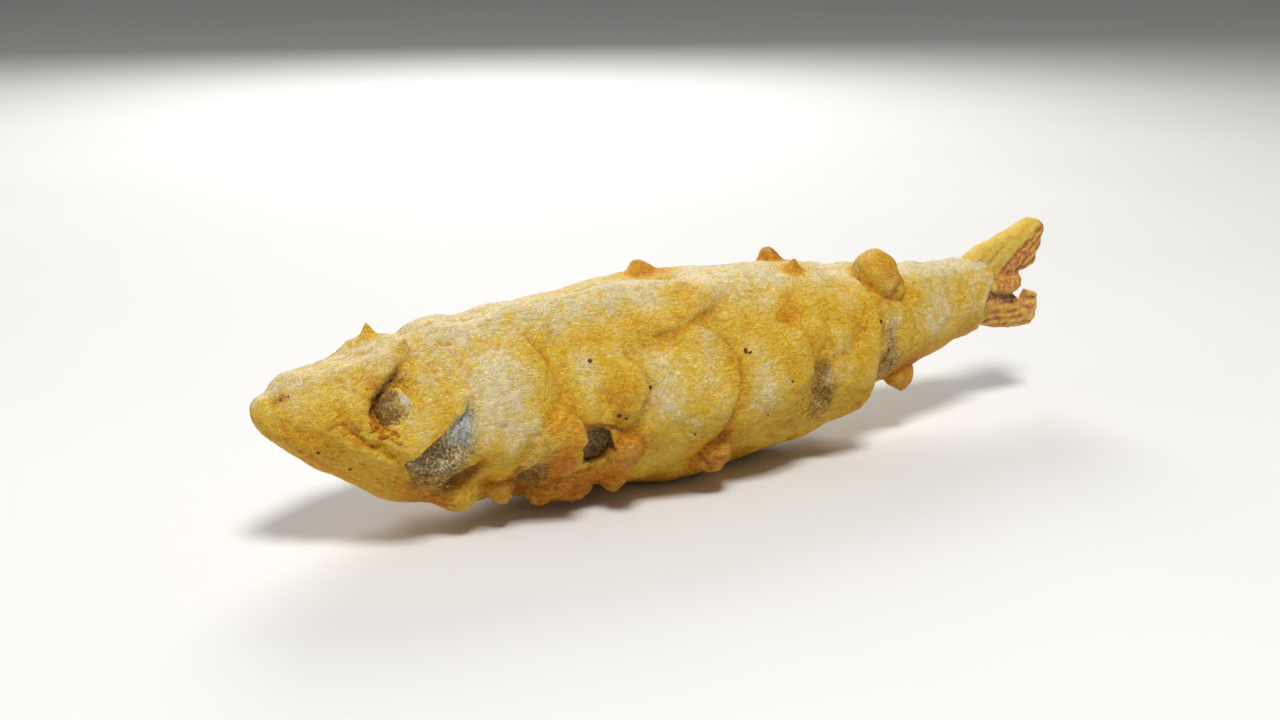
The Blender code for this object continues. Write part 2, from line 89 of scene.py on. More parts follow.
# lobes of batter: x, angle, half length, half breadth, height, turn, lean, power
lobes = onBothSides({
    "cheekBoth": (-35.4, 70, 5.6, 5.8, 1.1, 45, 1, 0.6),
    "neckLeft": (-26.6, 80, 5.4, 7.4, 0.75, 40, 0.5, 1.2),
    "throatLeft": (-28.6, 141, 2.9, 2.5, 1, 0, 0, 0.7),
    "flapLeft": (-21.2, 106, 3.3, 4.2, 1.6, 8, 1, 0.5),
    "underFlapLeft": (-19.6, 146, 3.6, 2.6, 0.7, 0, 0, 1),
    "oblongLeft": (-13.6, 78, 2, 3.2, 1.2, -12, 0.3, 0.9),
    "holeBallLeft": (-13.6, 113, 1.9, 1.9, 0.9, 0, 0, 0.9),
    "bellyBeadLeft": (-13, 146, 1.5, 1.6, 0.9, 0, 0, 0.9),
    "middleLeft": (-8.3, 88, 5.8, 6.8, 1.9, -4, 1, 0.6),
    "shoulderLeft": (-7.2, 42, 6.2, 4.4, 0.95, 46, 0.5, 1.1),
    "flankLeft": (0.4, 86, 5.8, 7, 1.2, 5, 0.8, 0.75),
    "rearTopLeft": (9.8, 58, 4.6, 5.2, 0.8, 30, 0.5, 1),
    "rearLeft": (12.2, 104, 3.7, 5.6, 1.1, 0, 0.6, 0.9),
    "neckRight": (-26.2, -84, 5.4, 7, 0.75, -30, 0.5, 1.2),
    "throatRight": (-29, -138, 3.1, 2.4, 0.7, 0, 0, 0.9),
    "frontRight": (-18.2, -78, 5.4, 5.8, 1.4, -20, 0.9, 0.65),
    "frontLowRight": (-19, -132, 4.4, 3.6, 0.8, 10, 0.4, 0.9),
    "middleRight": (-6.4, -92, 6.2, 6.4, 1.6, 12, 0.9, 0.65),
    "shoulderRight": (-6.8, -42, 6.2, 4, 0.8, -50, 0.5, 1.1),
    "lowRight": (-6, -141, 4.6, 2.8, 0.8, 0, 0.3, 0.9),
    "flankRight": (4.4, -74, 5, 6, 1.2, -15, 0.8, 0.75),
    "flankLowRight": (5.4, -121, 4.6, 4.2, 0.7, 20, 0.6, 0.9),
    "rearRight": (11.9, -93, 4.2, 5.8, 1.1, 0, 0.6, 0.9),
})

# soft swells and dips: x, angle, half length, half breadth, height
swells = onBothSides({
    "foreheadFlat": (-37.5, 0, 5, 2.6, -0.4),
    "snoutNotch": (-43.4, 0, 0.9, 2.5, -0.45),
    "snoutKnob": (-42, -4, 1.1, 2.4, 0.25),
    "gillDipBoth": (-31.2, 98, 2.3, 3.4, -0.8),
    "throatDipLeft": (-23.8, 138, 2.2, 3, -1.1),
    "throatDipRight": (-24.2, -141, 2.4, 2.6, -0.9),
    "flapDip": (-21.8, 122, 2.6, 2.4, -1),
    "holeDipLeft": (-16.8, 104, 2.4, 2.2, -0.5),
    "holeDipRight": (-12.2, -116, 2.4, 2.2, -0.5),
    "flankPatchLeft": (8, 104, 1.9, 3.6, -0.8),
    "flankPatchRight": (9.2, -112, 1.8, 3, -0.7),
    "backSwell1": (-29.2, 19, 2, 1.6, 0.5),
    "backSwell2": (-20.6, 21, 2.4, 1.5, 0.4),
    "backSwell3": (-12.4, 20, 2.2, 1.6, 0.5),
    "backSwell4": (-3.4, 29, 2.4, 2, 0.5),
    "backSwell5": (-17.6, -20, 2.4, 1.5, 0.3),
    "rearTopDip": (13.8, -6, 2.4, 5.5, -0.85),
    "bellyBehind": (0.6, 142, 4.6, 4, -0.85),
    "throatNotch1": (-26.5, 133, 0.9, 2.4, -0.7),
    "throatNotch2": (-22.3, 147, 1, 2.4, -0.9),
    "stalkTopDip": (22.6, -2, 2.2, 4, -0.65),
    "backDip": (-25.6, -1, 2.3, 2.1, -1.05),
    "spikeDip": (-30.8, -16, 0.9, 1.8, -0.9),
    "neckFar": (-27.3, -14, 1.8, 2, 0.65),
    "browTopDip": (-35.8, -12, 1.8, 2.8, -0.7),
    "lipTopDip": (14.6, 0, 1.4, 6, -0.6),
    "bellyFlat": (-3.5, 180, 6.5, 4.5, 0.7),
    "dentLeft": (4.4, 55, 0.9, 1.1, -0.6),
    "dentRight": (-1.4, -60, 1, 1.2, -0.6),
    "eyeDishBoth": (-35.2, 68, 2.1, 2.2, -1),
    "lidHollowBoth": (-33.4, 44, 1.1, 2.3, -0.7),
    "neckSwellBoth": (-24.8, 52, 3.2, 3, 0.35),
})

# raised ridges and sunk creases along a line: points, half breadth, height
ridges = onBothSides({
    "backLeft": ([(-31.5, 22), (-27, 19), (-21, 20), (-12, 20), (-5.3, 22), (-1, 27)], 2, 0.62),
    "backRight": ([(-30, -22), (-24, -19), (-17, -21), (-8, -21), (0.5, -26)], 1.7, 0.55),
    "backRightDip": ([(-28, -16), (-22, -14), (-15.5, -15)], 2.2, -0.4),
    "furrow": ([(-37, 0), (-24, 2), (-12, 2), (-4, 1)], 1, -1),
    "browBoth": ([(-33.1, 28), (-35.2, 37), (-36.8, 48), (-37.9, 60), (-38.2, 74), (-37.3, 88)], 1.2, 0.5),
    "cheekTopBoth": ([(-32.2, 32), (-30.8, 38), (-29.7, 46), (-28.9, 56)], 0.8, -0.25),
    "lidCreaseBoth": ([(-33.6, 42), (-35.1, 51), (-36, 60), (-36.3, 70), (-35.8, 80)], 0.5, -0.35),
    "cheekLowBoth": ([(-38.8, 69), (-38.6, 82), (-37.7, 92), (-36.2, 97), (-34.4, 104)], 0.6, -0.5),
    "jawFoldLeft": ([(-42.8, 96), (-40.6, 108), (-38, 116), (-35.4, 121)], 0.8, -0.22),
    "jawFoldRight": ([(-42.6, -98), (-40.4, -110), (-37.8, -118), (-35, -122)], 0.8, -0.22),
    "neckLineLeft": ([(-29, 28), (-28.4, 40), (-28.2, 52), (-28.1, 66)], 0.6, -0.22),
    "neckLineRight": ([(-29, -28), (-28.4, -42), (-28, -56), (-28.2, -68)], 0.6, -0.22),
    "neckFoldLeft": ([(-22.6, 28), (-21.6, 45), (-20.9, 58), (-20.3, 70), (-19.6, 80)], 0.8, -0.3),
    "neckFoldRight": ([(-22, -28), (-21, -44), (-20.6, -56)], 0.8, -0.3),
    "backFoldLeft": ([(-19.2, 34), (-18.8, 47), (-18, 58), (-17.4, 68)], 0.6, -0.2),
    "shoulderFoldLeft": ([(-0.8, 32), (-2.8, 42), (-5.6, 50), (-9, 55), (-12.5, 58)], 1.1, -0.45),
    "shoulderFoldRight": ([(-0.4, -34), (-2.6, -44), (-5.8, -52), (-9.4, -55)], 1.1, -0.4),
    "snoutEdgeLeft": ([(-42.6, 24), (-39.5, 27), (-36, 27), (-33.4, 27)], 0.8, 0.4),
    "snoutEdgeRight": ([(-42.6, -24), (-39.5, -27), (-36, -27), (-33.4, -27)], 0.7, 0.35),
    "throatFoldLeft": ([(-27.2, 106), (-29.2, 120), (-30.8, 143)], 0.7, -0.7),
    "throatFoldRight": ([(-27.4, -104), (-29.4, -121), (-31, -141)], 0.7, -0.7),
    "flankFoldLeft": ([(9.6, 66), (8.4, 78), (7.6, 90)], 0.7, -0.4),
    "flankFoldRight": ([(0.6, -96), (2.6, -108), (1.4, -124)], 0.5, -0.45),
    **{f"stalkRing{k}Both": ([(x, 2), (x + 0.4, 25), (x + 1.1, 55), (x + 1.4, 85)], 0.38, 0.17)
       for k, x in enumerate((23.8, 26.6, 29.8, 32.8), 1)},
})

# crisp rims where one fold of batter ends over the next: points, height, run behind, overhang.
# The fold lies on the right hand of the line, seen from outside with the head to the left.
rims = {
    "lidLeft": ([(-32.7, 27), (-34.1, 36), (-35.5, 46), (-36.5, 56), (-37, 65), (-37.1, 73),
                 (-36.7, 83)], 0.42, 1.2, 0.2),
    "cheekLeft": ([(-28.9, 62), (-29.5, 73), (-31.4, 85), (-33.7, 100), (-35.2, 112)], 0.6, 1.5, 0.4),
    "flapLeft": ([(-20.2, 80), (-19, 90), (-18.5, 102), (-18.4, 118), (-19.4, 132)], 0.6, 1.5, 0.4),
    "throatDripLeft": ([(-22.4, 108), (-23.6, 122), (-24.4, 138)], 0.4, 1.2, 0.3),
    "middleLeft": ([(-7.2, 47), (-5.4, 53), (-3.6, 61), (-2.7, 71), (-3.1, 80), (-4.1, 91),
                    (-4.9, 104)], 0.75, 1.6, 0.5),
    "backLeft": ([(-31, 17), (-24, 14), (-17, 13), (-10, 13), (-4, 16)], 0.65, 1.6, 0.3),
    "snoutLeft": ([(-42.2, 6), (-39, 7), (-36.2, 9), (-34, 14), (-33, 22)], 0.55, 1.3, 0.25),
    "snoutRight": ([(-33, -22), (-34, -14), (-36.2, -9), (-39, -7), (-42.2, -6)], 0.3, 1.4, 0.15),
    "neckLeft": ([(-23.4, 26), (-22.3, 38), (-21.4, 52), (-20.7, 64), (-20.2, 74)], 0.5, 1.6, 0.35),
    "oblongLeft": ([(-15, 58), (-13.4, 61), (-12.3, 69), (-12.3, 78), (-13, 86),
                    (-14.2, 92)], 0.4, 1.1, 0.25),
    "flankLeft": ([(4, 52), (5.2, 60), (5.9, 72), (6.3, 84), (6.6, 100), (5.6, 120)], 0.7, 1.5, 0.5),
    "lipLeft": ([(15.2, 10), (15.5, 40), (15.3, 75), (14.8, 100), (14.6, 150)], 0.5, 1.2, 0.45),
    "shoulderLeft": ([(-1.6, 30), (-3.6, 38), (-6.8, 45), (-10.6, 48)], 0.42, 1.9, 0.2),
    "rearLeft": ([(8.3, 102), (9.6, 93), (10.3, 84), (10.2, 74), (9.4, 62)], 0.45, 1.3, 0.15),
    "lidRight": ([(-36.8, -83), (-37.2, -73), (-37.1, -65), (-36.5, -56), (-35.5, -46), (-34.1, -36),
                  (-32.7, -27)], 0.42, 1.2, 0.2),
    "cheekRight": ([(-35.2, -112), (-33.7, -100), (-31.4, -85), (-29.5, -73), (-28.9, -62)], 0.6, 1.5, 0.4),
    "frontRight": ([(-16.8, -120), (-14.2, -104), (-13.2, -86), (-13.8, -68), (-15.6, -56)], 0.6, 1.6, 0.45),
    "middleRight": ([(-2.4, -120), (-0.8, -104), (-0.4, -88), (-1.6, -68)], 0.6, 1.6, 0.45),
    "flankRight": ([(7, -110), (8.9, -92), (9, -72), (7.4, -52)], 0.5, 1.4, 0.35),
    "lipRight": ([(14.8, -150), (15.2, -110), (15.5, -80), (15.3, -50), (15.4, -12)], 0.5, 1.2, 0.45),
}

# the last three place the painted highlight on each rim's crest and the painted shade in the fold before it
rimShape = {"ahead": 0.28, "shove": 0.7, "highlightBreadth": 0.24, "shadeBefore": 0.55, "shadeBreadth": 0.38}


def smoothRun(column, x):
    # a smooth line through one column of the stations, that starts blunt at the snout
    table = np.array(bodyShape["stations"])
    knots = np.sqrt(table[:, 0] - table[0, 0])
    values = table[:, column]
    slopes = np.gradient(values, knots)
    at = np.sqrt(np.clip(np.asarray(x, float) - table[0, 0], 0.0, None))
    i = np.clip(np.searchsorted(knots, at) - 1, 0, len(knots) - 2)
    span = knots[i + 1] - knots[i]
    t = np.clip((at - knots[i]) / span, 0.0, 1.0)
    rise = (1 - t) ** 2 * (1 + 2 * t) * values[i] + t**2 * (3 - 2 * t) * values[i + 1]
    return rise + span * ((1 - t) ** 2 * t * slopes[i] - t**2 * (1 - t) * slopes[i + 1])


def section(x):
    # centre height, half height and half width of the plain body
    top, bottom = smoothRun(1, x), smoothRun(2, x)
    halfHeight = np.maximum((top - bottom) / 2, 0.05)
    return (top + bottom) / 2, halfHeight, halfHeight * bodyShape["sideToHeight"]


def wrap(degrees):
    return (degrees + 180.0) % 360.0 - 180.0


def meanRadius(x):
    _, halfHeight, halfWidth = section(x)
    return (halfHeight + halfWidth) / 2


def localPlace(x, angle, x0, angle0, turn=0.0):
    along = x - x0
    around = np.radians(wrap(angle - angle0)) * meanRadius(x)
    c, s = math.cos(math.radians(turn)), math.sin(math.radians(turn))
    return along * c + around * s, around * c - along * s


def lobeHeight(x, angle, lobe):
    x0, angle0, halfLength, halfBreadth, height, turn, lean, power = lobe
    u, v = localPlace(x, angle, x0, angle0, turn)
    u, v = u / halfLength, v / halfBreadth
    # facing is 1 where the lobe ends over the next one
    facing = np.clip(u / np.maximum(np.hypot(u, v), 1e-6), 0.0, 1.0) ** 2
    dome = np.clip(1.0 - u**2 - v**2, 0.0, None) ** (1.3 + (power - 1.3) * facing)
    return height * dome * np.clip(1.0 + lean * u, 0.0, None) / (1.0 + abs(lean) * 0.6)


def lineField(x, angle, points):
    # distance on the unrolled skin to a line of points, the side it is on, the share of the line
    # passed, and the way across the line
    radius = meanRadius(x)
    best = np.full(np.shape(x), 1e9)
    side = np.ones(np.shape(x))
    share = np.zeros(np.shape(x))
    normalX, normalA = np.zeros(np.shape(x)), np.zeros(np.shape(x))
    runs = len(points) - 1
    for k, ((xa, aa), (xb, ab)) in enumerate(zip(points, points[1:])):
        px, py = x - xa, np.radians(wrap(angle - aa)) * radius
        dx, dy = xb - xa, np.radians(ab - aa) * radius
        t = np.clip((px * dx + py * dy) / (dx * dx + dy * dy), 0.0, 1.0)
        ex, ey = px - t * dx, py - t * dy
        distance = np.hypot(ex, ey)
        near = distance < best
        best = np.where(near, distance, best)
        side = np.where(near, np.sign(dx * py - dy * px), side)
        share = np.where(near, (k + t) / runs, share)
        length = np.hypot(dx, dy)
        normalX = np.where(near, -dy / length, normalX)
        normalA = np.where(near, dx / length, normalA)
    return best, side, share, normalX, normalA


def rimField(x, angle):
    # height of the rims, and how far they push the skin sideways over what lies in front of them
    height = np.zeros(np.shape(x))
    pushX, pushA = np.zeros(np.shape(x)), np.zeros(np.shape(x))
    for points, rise, run, overhang in rims.values():
        distance, side, share, normalX, normalA = lineField(x, angle, points)
        fade = np.sin(np.pi * np.clip(share, 0.0, 1.0)) ** 0.5
        behind = np.exp(-((distance / run) ** 2))
        ahead = np.exp(-((distance / rimShape["ahead"]) ** 2))
        height += rise * fade * np.where(side > 0, behind, ahead)
        shove = overhang * fade * np.where(side > 0, np.exp(-((distance / rimShape["shove"]) ** 2)), ahead)
        pushX -= shove * normalX
        pushA -= shove * normalA
    return height, pushX, pushA


def rimHighlightAndShade(x, angle):
    # the painted highlight along the crest of each rim, and the painted shade in the fold before it
    crestHighlight, brown = np.zeros(np.shape(x)), np.zeros(np.shape(x))
    for points, rise, _, overhang in rims.values():
        distance, side, share, _, _ = lineField(x, angle, points)
        past = np.where(side > 0, distance, -distance) + overhang
        strength = min(rise / 0.5, 1.2) * np.sin(np.pi * np.clip(share, 0.02, 0.98)) ** 0.5
        crestHighlight = np.maximum(crestHighlight, strength * np.exp(-((past / rimShape["highlightBreadth"]) ** 2)))
        inFold = (past + rimShape["shadeBefore"]) / rimShape["shadeBreadth"]
        brown = np.maximum(brown, strength * np.exp(-(inFold**2)))
    return crestHighlight, brown


def noiseAt(points, scale):
    places = (np.asarray(points, float) / scale).reshape(-1, 3)
    values = np.array([noise.noise(Vector(p)) for p in places])
    return values.reshape(np.shape(points)[:-1])


def skinPoints(x, angle, out):
    centre, halfHeight, halfWidth = section(x)
    turn = np.radians(angle)
    across, up = np.sin(turn), np.cos(turn)
    length = np.sqrt((across / halfWidth) ** 2 + (up / halfHeight) ** 2)
    y = -(halfWidth * across + out * across / halfWidth / length)
    z = centre + halfHeight * up + out * up / halfHeight / length
    return np.stack([x * np.ones_like(y), y, z], axis=-1)


def bodyRelief(x, angle):
    # height of lobes, ridges, dips and the lip over the plain body
    shape = bodyShape
    height = np.zeros(np.shape(x))
    for lobe in lobes.values():
        height = np.maximum(height, lobeHeight(x, angle, lobe))
    for x0, angle0, halfLength, halfBreadth, rise in swells.values():
        u, v = localPlace(x, angle, x0, angle0)
        height = height + rise * np.exp(-((u / halfLength) ** 2 + (v / halfBreadth) ** 2))
    for points, halfBreadth, rise in ridges.values():
        distance = lineField(x, angle, points)[0]
        height = height + rise * np.exp(-((distance / halfBreadth) ** 2))
    pastLip = np.clip((x - shape["lipX"]) / shape["lipFall"], 0.0, 1.0)
    beforeLip = np.exp(-((np.minimum(x - shape["lipX"], 0.0) / shape["lipRoll"]) ** 2))
    height = height + shape["lipHeight"] * beforeLip * (1 - pastLip)
    height = height - shape["lipDrop"] * pastLip * np.exp(-(((x - shape["lipX"]) / shape["lipHollow"]) ** 2))
    smooth = np.clip((x - shape["snoutX"]) / shape["smoothSnout"], 0.0, 1.0)
    plain = skinPoints(x, angle, 0.0)
    uneven = shape["unevenness"] * noiseAt(plain, shape["unevenLength"])
    lumps = shape["lumps"] * noiseAt(plain, shape["lumpLength"])
    return height + (uneven + lumps) * smooth


def pointAndNormal(x, angle, out=0.0):
    here = Vector(skinPoints(np.float64(x), np.float64(angle), out))
    beyond = Vector(skinPoints(np.float64(x), np.float64(angle), out + 1.0))
    return here, (beyond - here).normalized()


def bodyPlace(points):
    # place along and round the body, and height over the plain body, of points in millimetres
    x = np.clip(points[:, 0], bodyShape["snoutX"] + 0.01, None)
    centre, halfHeight, halfWidth = section(x)
    across, up = -points[:, 1] / halfWidth, (points[:, 2] - centre) / halfHeight
    angle = np.degrees(np.arctan2(across, up))
    out = (np.hypot(across, up) - 1.0) * meanRadius(x)
    return x, angle, out


def meshFrom(name, points, faces):
    mesh = bpy.data.meshes.new(name)
    mesh.from_pydata([Vector(p) * mm for p in points], [], faces)
    mesh.update()
    return mesh


def newObject(name, mesh):
    obj = bpy.data.objects.new(name, mesh)
    bpy.context.scene.collection.objects.link(obj)
    return obj


def loftMesh(name, rings):
    around = len(rings[0])
    points = np.concatenate(rings)
    faces = []
    for r in range(len(rings) - 1):
        for k in range(around):
            n = (k + 1) % around
            faces.append((r * around + k, (r + 1) * around + k, (r + 1) * around + n, r * around + n))
    faces.append(list(range(around)))
    last = (len(rings) - 1) * around
    faces.append([last + k for k in reversed(range(around))])
    mesh = meshFrom(name, points, faces)
    bm = bmesh.new()
    bm.from_mesh(mesh)
    bmesh.ops.recalc_face_normals(bm, faces=bm.faces)
    bm.to_mesh(mesh)
    bm.free()
    return mesh


def ballMesh(name, detail, shaper):
    bm = bmesh.new()
    bmesh.ops.create_icosphere(bm, subdivisions=detail, radius=1.0)
    for vert in bm.verts:
        vert.co = Vector(shaper(vert.co)) * mm
    bmesh.ops.recalc_face_normals(bm, faces=bm.faces)
    mesh = bpy.data.meshes.new(name)
    bm.to_mesh(mesh)
    bm.free()
    return mesh


def joinMeshes(name, meshes):
    bm = bmesh.new()
    for mesh in meshes:
        bm.from_mesh(mesh)
        bpy.data.meshes.remove(mesh)
    joined = bpy.data.meshes.new(name)
    bm.to_mesh(joined)
    bm.free()
    return joined


def bakeModifiers(obj):
    # the evaluated shape becomes the object's own plain mesh
    depsgraph = bpy.context.evaluated_depsgraph_get()
    mesh = bpy.data.meshes.new_from_object(obj.evaluated_get(depsgraph))
    obj.modifiers.clear()
    old = obj.data
    obj.data = mesh
    bpy.data.meshes.remove(old)
    return obj


def meltTogether(obj, voxel, iterations):
    remesh = obj.modifiers.new("melt", "REMESH")
    remesh.mode = "VOXEL"
    remesh.voxel_size = voxel * mm
    if iterations:
        smooth = obj.modifiers.new("soften", "SMOOTH")
        smooth.factor = 0.5
        smooth.iterations = iterations
    return bakeModifiers(obj)


def getPoints(mesh):
    points = np.empty(len(mesh.vertices) * 3)
    mesh.vertices.foreach_get("co", points)
    return points.reshape(-1, 3) / mm


def setPoints(mesh, points):
    mesh.vertices.foreach_set("co", (np.asarray(points) * mm).ravel())
    mesh.update()


def getNormals(mesh):
    normals = np.empty(len(mesh.vertices) * 3)
    mesh.vertex_normals.foreach_get("vector", normals)
    return normals.reshape(-1, 3)


def setField(mesh, name, values):
    field = mesh.attributes.new(name, "FLOAT", "POINT")
    field.data.foreach_set("value", np.ascontiguousarray(values, dtype=np.float32))


def crestField(mesh, steps):
    # how far each point stands over its smoothed surroundings: crests positive, creases negative
    points, normals = getPoints(mesh), getNormals(mesh)
    edges = np.empty(len(mesh.edges) * 2, dtype=np.int64)
    mesh.edges.foreach_get("vertices", edges)
    a, b = edges.reshape(-1, 2).T
    count = np.bincount(a, minlength=len(points)) + np.bincount(b, minlength=len(points))
    size = len(points)
    smooth = points.copy()
    for _ in range(steps):
        total = np.zeros_like(smooth)
        for axis in range(3):
            total[:, axis] = np.bincount(a, smooth[b, axis], size) + np.bincount(b, smooth[a, axis], size)
        smooth = 0.5 * smooth + 0.5 * total / np.maximum(count, 1)[:, None]
    return np.einsum("ij,ij->i", points - smooth, normals)


def stainField(x, angle, stains):
    # the strongest of a list of soft spots
    field = np.zeros(len(x))
    for x0, angle0, halfLength, halfBreadth, strength, *turn in stains:
        u, v = localPlace(x, angle, x0, angle0, *turn)
        spot = np.exp(-(((u / halfLength) ** 2 + (v / halfBreadth) ** 2) ** 1.5))
        field = np.maximum(field, strength * spot)
    return field


coat = {
    "ringsAlong": 460, "pointsAround": 280,
    "voxel": 0.2, "softening": 1, "shareKept": 0.54,
    "wrinkleHeight": 0.13, "wrinkleSize": 1.0, "wrinkleGain": 1.0,
    "grainHeight": 0.05, "grainSize": 0.45,
    "beadUneven": 0.12, "restSoft": 0.3,
    "coreAlong": 150, "coreAround": 90,
    "crestHeight": 0.03, "foldHeight": 0.25,  # crests and folds this high take the full painted highlight or shade
    # strength of the painted highlight and shade along the rims
    "rimHighlight": 1.3, "rimShade": 0.8, "rimShadeBrown": 0.42,
    "topSheen": [(-38.0, 0.8), (-28.0, 1.1), (14.0, 1.05), (18.0, 1.5)],  # x, painted sheen on the back
    "topSheenBreadth": 38.0,
    # painted shade: the belly is drawn deeper gold from this angle down
    "bellyShade": 0.6, "bellyShadeFrom": 92.0, "bellyShadeOver": 50.0,
    "crumbs": {"count": 240, "size": 0.2, "from": 0.3, "seed": 4},
    "beads": {  # x, angle, sunk depth, half length, half breadth, height, pointedness, tilt to +X, tilt to +Z
        "spikeLeft": (-32.8, 27, 0.5, 1.7, 1.2, 2.75, 1.22, 0.05, 0.1),
        "spikeRight": (-33.2, -27, 0.5, 1.7, 1.3, 2.35, 1.15, 0.0, 0.25),
        "backBumpLeft": (-5.2, 23, 0.8, 2.4, 1.5, 2.0, 0.7, 0.0, 0.2),
        "backBumpRight": (-4.9, -22, 0.9, 3.3, 1.9, 2.6, 0.7, -0.15, 0.2),
        "knobLeft": (9.3, 14, 0.6, 1.6, 1.3, 1.8, 1.0, 0.0, 0.0),
        "knobRight": (9.4, -15, 0.7, 2.0, 1.6, 2.3, 0.75, 0.0, 0.0),
        "ball": (19.3, 27, 0.0, 2.4, 2.6, 2.65, 0.0, -0.1, 0.2),
        "ballSide": (20.4, 34, 0.5, 1.9, 2.0, 1.7, 0.0, 0.0, 0.0),
        "ballFoot": (20.6, 42, 0.6, 1.7, 1.2, 1.1, 0.0, 0.0, 0.0),
        "stalkDrip": (22.5, 144, 0.4, 1.9, 1.4, 2.3, 0.15, 0.1, -0.4),
        "throatDrip": (-24.8, 137, 0.4, 1.4, 1.3, 1.4, 0.45, 0.0, -0.4),
        "bellyLump": (-20.2, 151, 0.5, 1.5, 1.3, 1.5, 0.2, 0.0, -0.2),
        "bellyRoll": (-17.2, 150, 0.6, 2.6, 1.4, 1.7, 0.0, 0.0, -0.2),
        "bellyBead": (-13.0, 147, 0.4, 1.4, 1.1, 1.4, 0.2, 0.0, -0.2),
        "pinch": (-3.9, 124, 0.4, 2.1, 2.4, 2.2, 0.1, 0.1, -0.3),
        "pinchTip": (-3.2, 134, 0.2, 1.4, 1.3, 1.2, 0.2, 0.0, -0.6),
        "holeBall": (-13.5, 114, -0.2, 1.6, 1.7, 1.4, 0.0, 0.0, -0.1),
        "sideBeadRight": (-12.4, -64, 0.6, 1.5, 1.9, 1.5, 0.0, 0.0, 0.0),
        "bellyDripRight": (-2.2, -136, 0.4, 1.3, 1.2, 1.8, 0.5, 0.0, -0.4),
        "lowBeadRight": (-17.4, -147, 0.4, 1.3, 1.1, 1.3, 0.2, 0.0, -0.2),
        "stalkBeadRight": (19.4, -96, 0.5, 1.5, 1.4, 1.5, 0.1, 0.0, 0.0),
    },
    "openings": {  # corners as x, angle
        "gillLeft": [(-29.2, 72), (-31.0, 82), (-32.9, 94), (-34.3, 106), (-32.8, 117), (-30.8, 116),
                     (-29.4, 104), (-28.8, 90), (-28.6, 79)],
        "gillRight": [(-29.2, -72), (-31.0, -82), (-32.9, -94), (-34.5, -107), (-33.0, -117), (-31.0, -115),
                      (-29.6, -104), (-28.8, -90), (-28.6, -79)],
        "holeLeft": [(-18.5, 98), (-18.6, 108), (-18.2, 118), (-16.8, 121), (-15.4, 120), (-14.9, 112),
                     (-15.0, 103), (-16.4, 97)],
        "holeRight": [(-13.6, -109), (-13.4, -121), (-12.0, -124), (-10.8, -119), (-10.9, -109)],
    },
    "openingOverrun": 0.8, "openingReach": 3.0, "openingRagged": 0.18,
    "openingUnder": {"gill": 0.9, "hole": 1.15},  # how wide an opening is under the skin
    # how far the fish's skin lies under the batter at the openings, and over what distance it falls away
    "gillUnder": -0.08, "gillTaper": 0.8, "holeUnder": 1.0, "holeTaper": 2.0,
    # how much further the end of the coat reaches along the tail: angle, reach
    "collarFromX": 32.0,
    "collarReach": [(-180, 0.0), (-150, -0.3), (-120, -0.9), (-100, -0.6), (-75, 0.1), (-45, 0.2),
                    (-20, -0.3), (0, -0.6), (20, 0.3), (45, 0.0), (66, -0.6), (84, -1.9), (98, -2.0),
                    (106, -2.4), (113, -2.9), (125, -2.7), (135, -1.9), (150, -1.0), (165, -0.3), (180, 0.0)],
}

eye = {
    "x": -34.1, "angle": 67.0, "halfWidth": 1.9, "halfDepth": 1.05, "sink": 0.95, "lean": -0.08, "gap": 0.02,
    "uneven": 0.14,
    # little curled crumbs beside the eye, as distance along and down from its middle, in millimetres
    "curls": [[(-2.2, 0.5), (-2.6, 0.9), (-2.7, 1.4), (-2.4, 1.9), (-1.9, 1.9), (-1.7, 1.5)],
              [(-2.1, 0.8), (-1.8, 1.2), (-1.4, 1.6), (-1.1, 2.1)], [(-1.3, 1.7), (-0.9, 1.9), (-0.6, 2.2)],
              [(-2.4, 1.2), (-2.2, 1.5), (-2.0, 1.4)], [(-2.3, 2.3), (-1.8, 2.4), (-1.4, 2.2)],
              [(-1.2, 2.4), (-0.9, 2.7), (-0.5, 2.6)]],
    "curlRadius": 0.15, "curlUneven": 0.9, "curlSunk": 0.02,
}

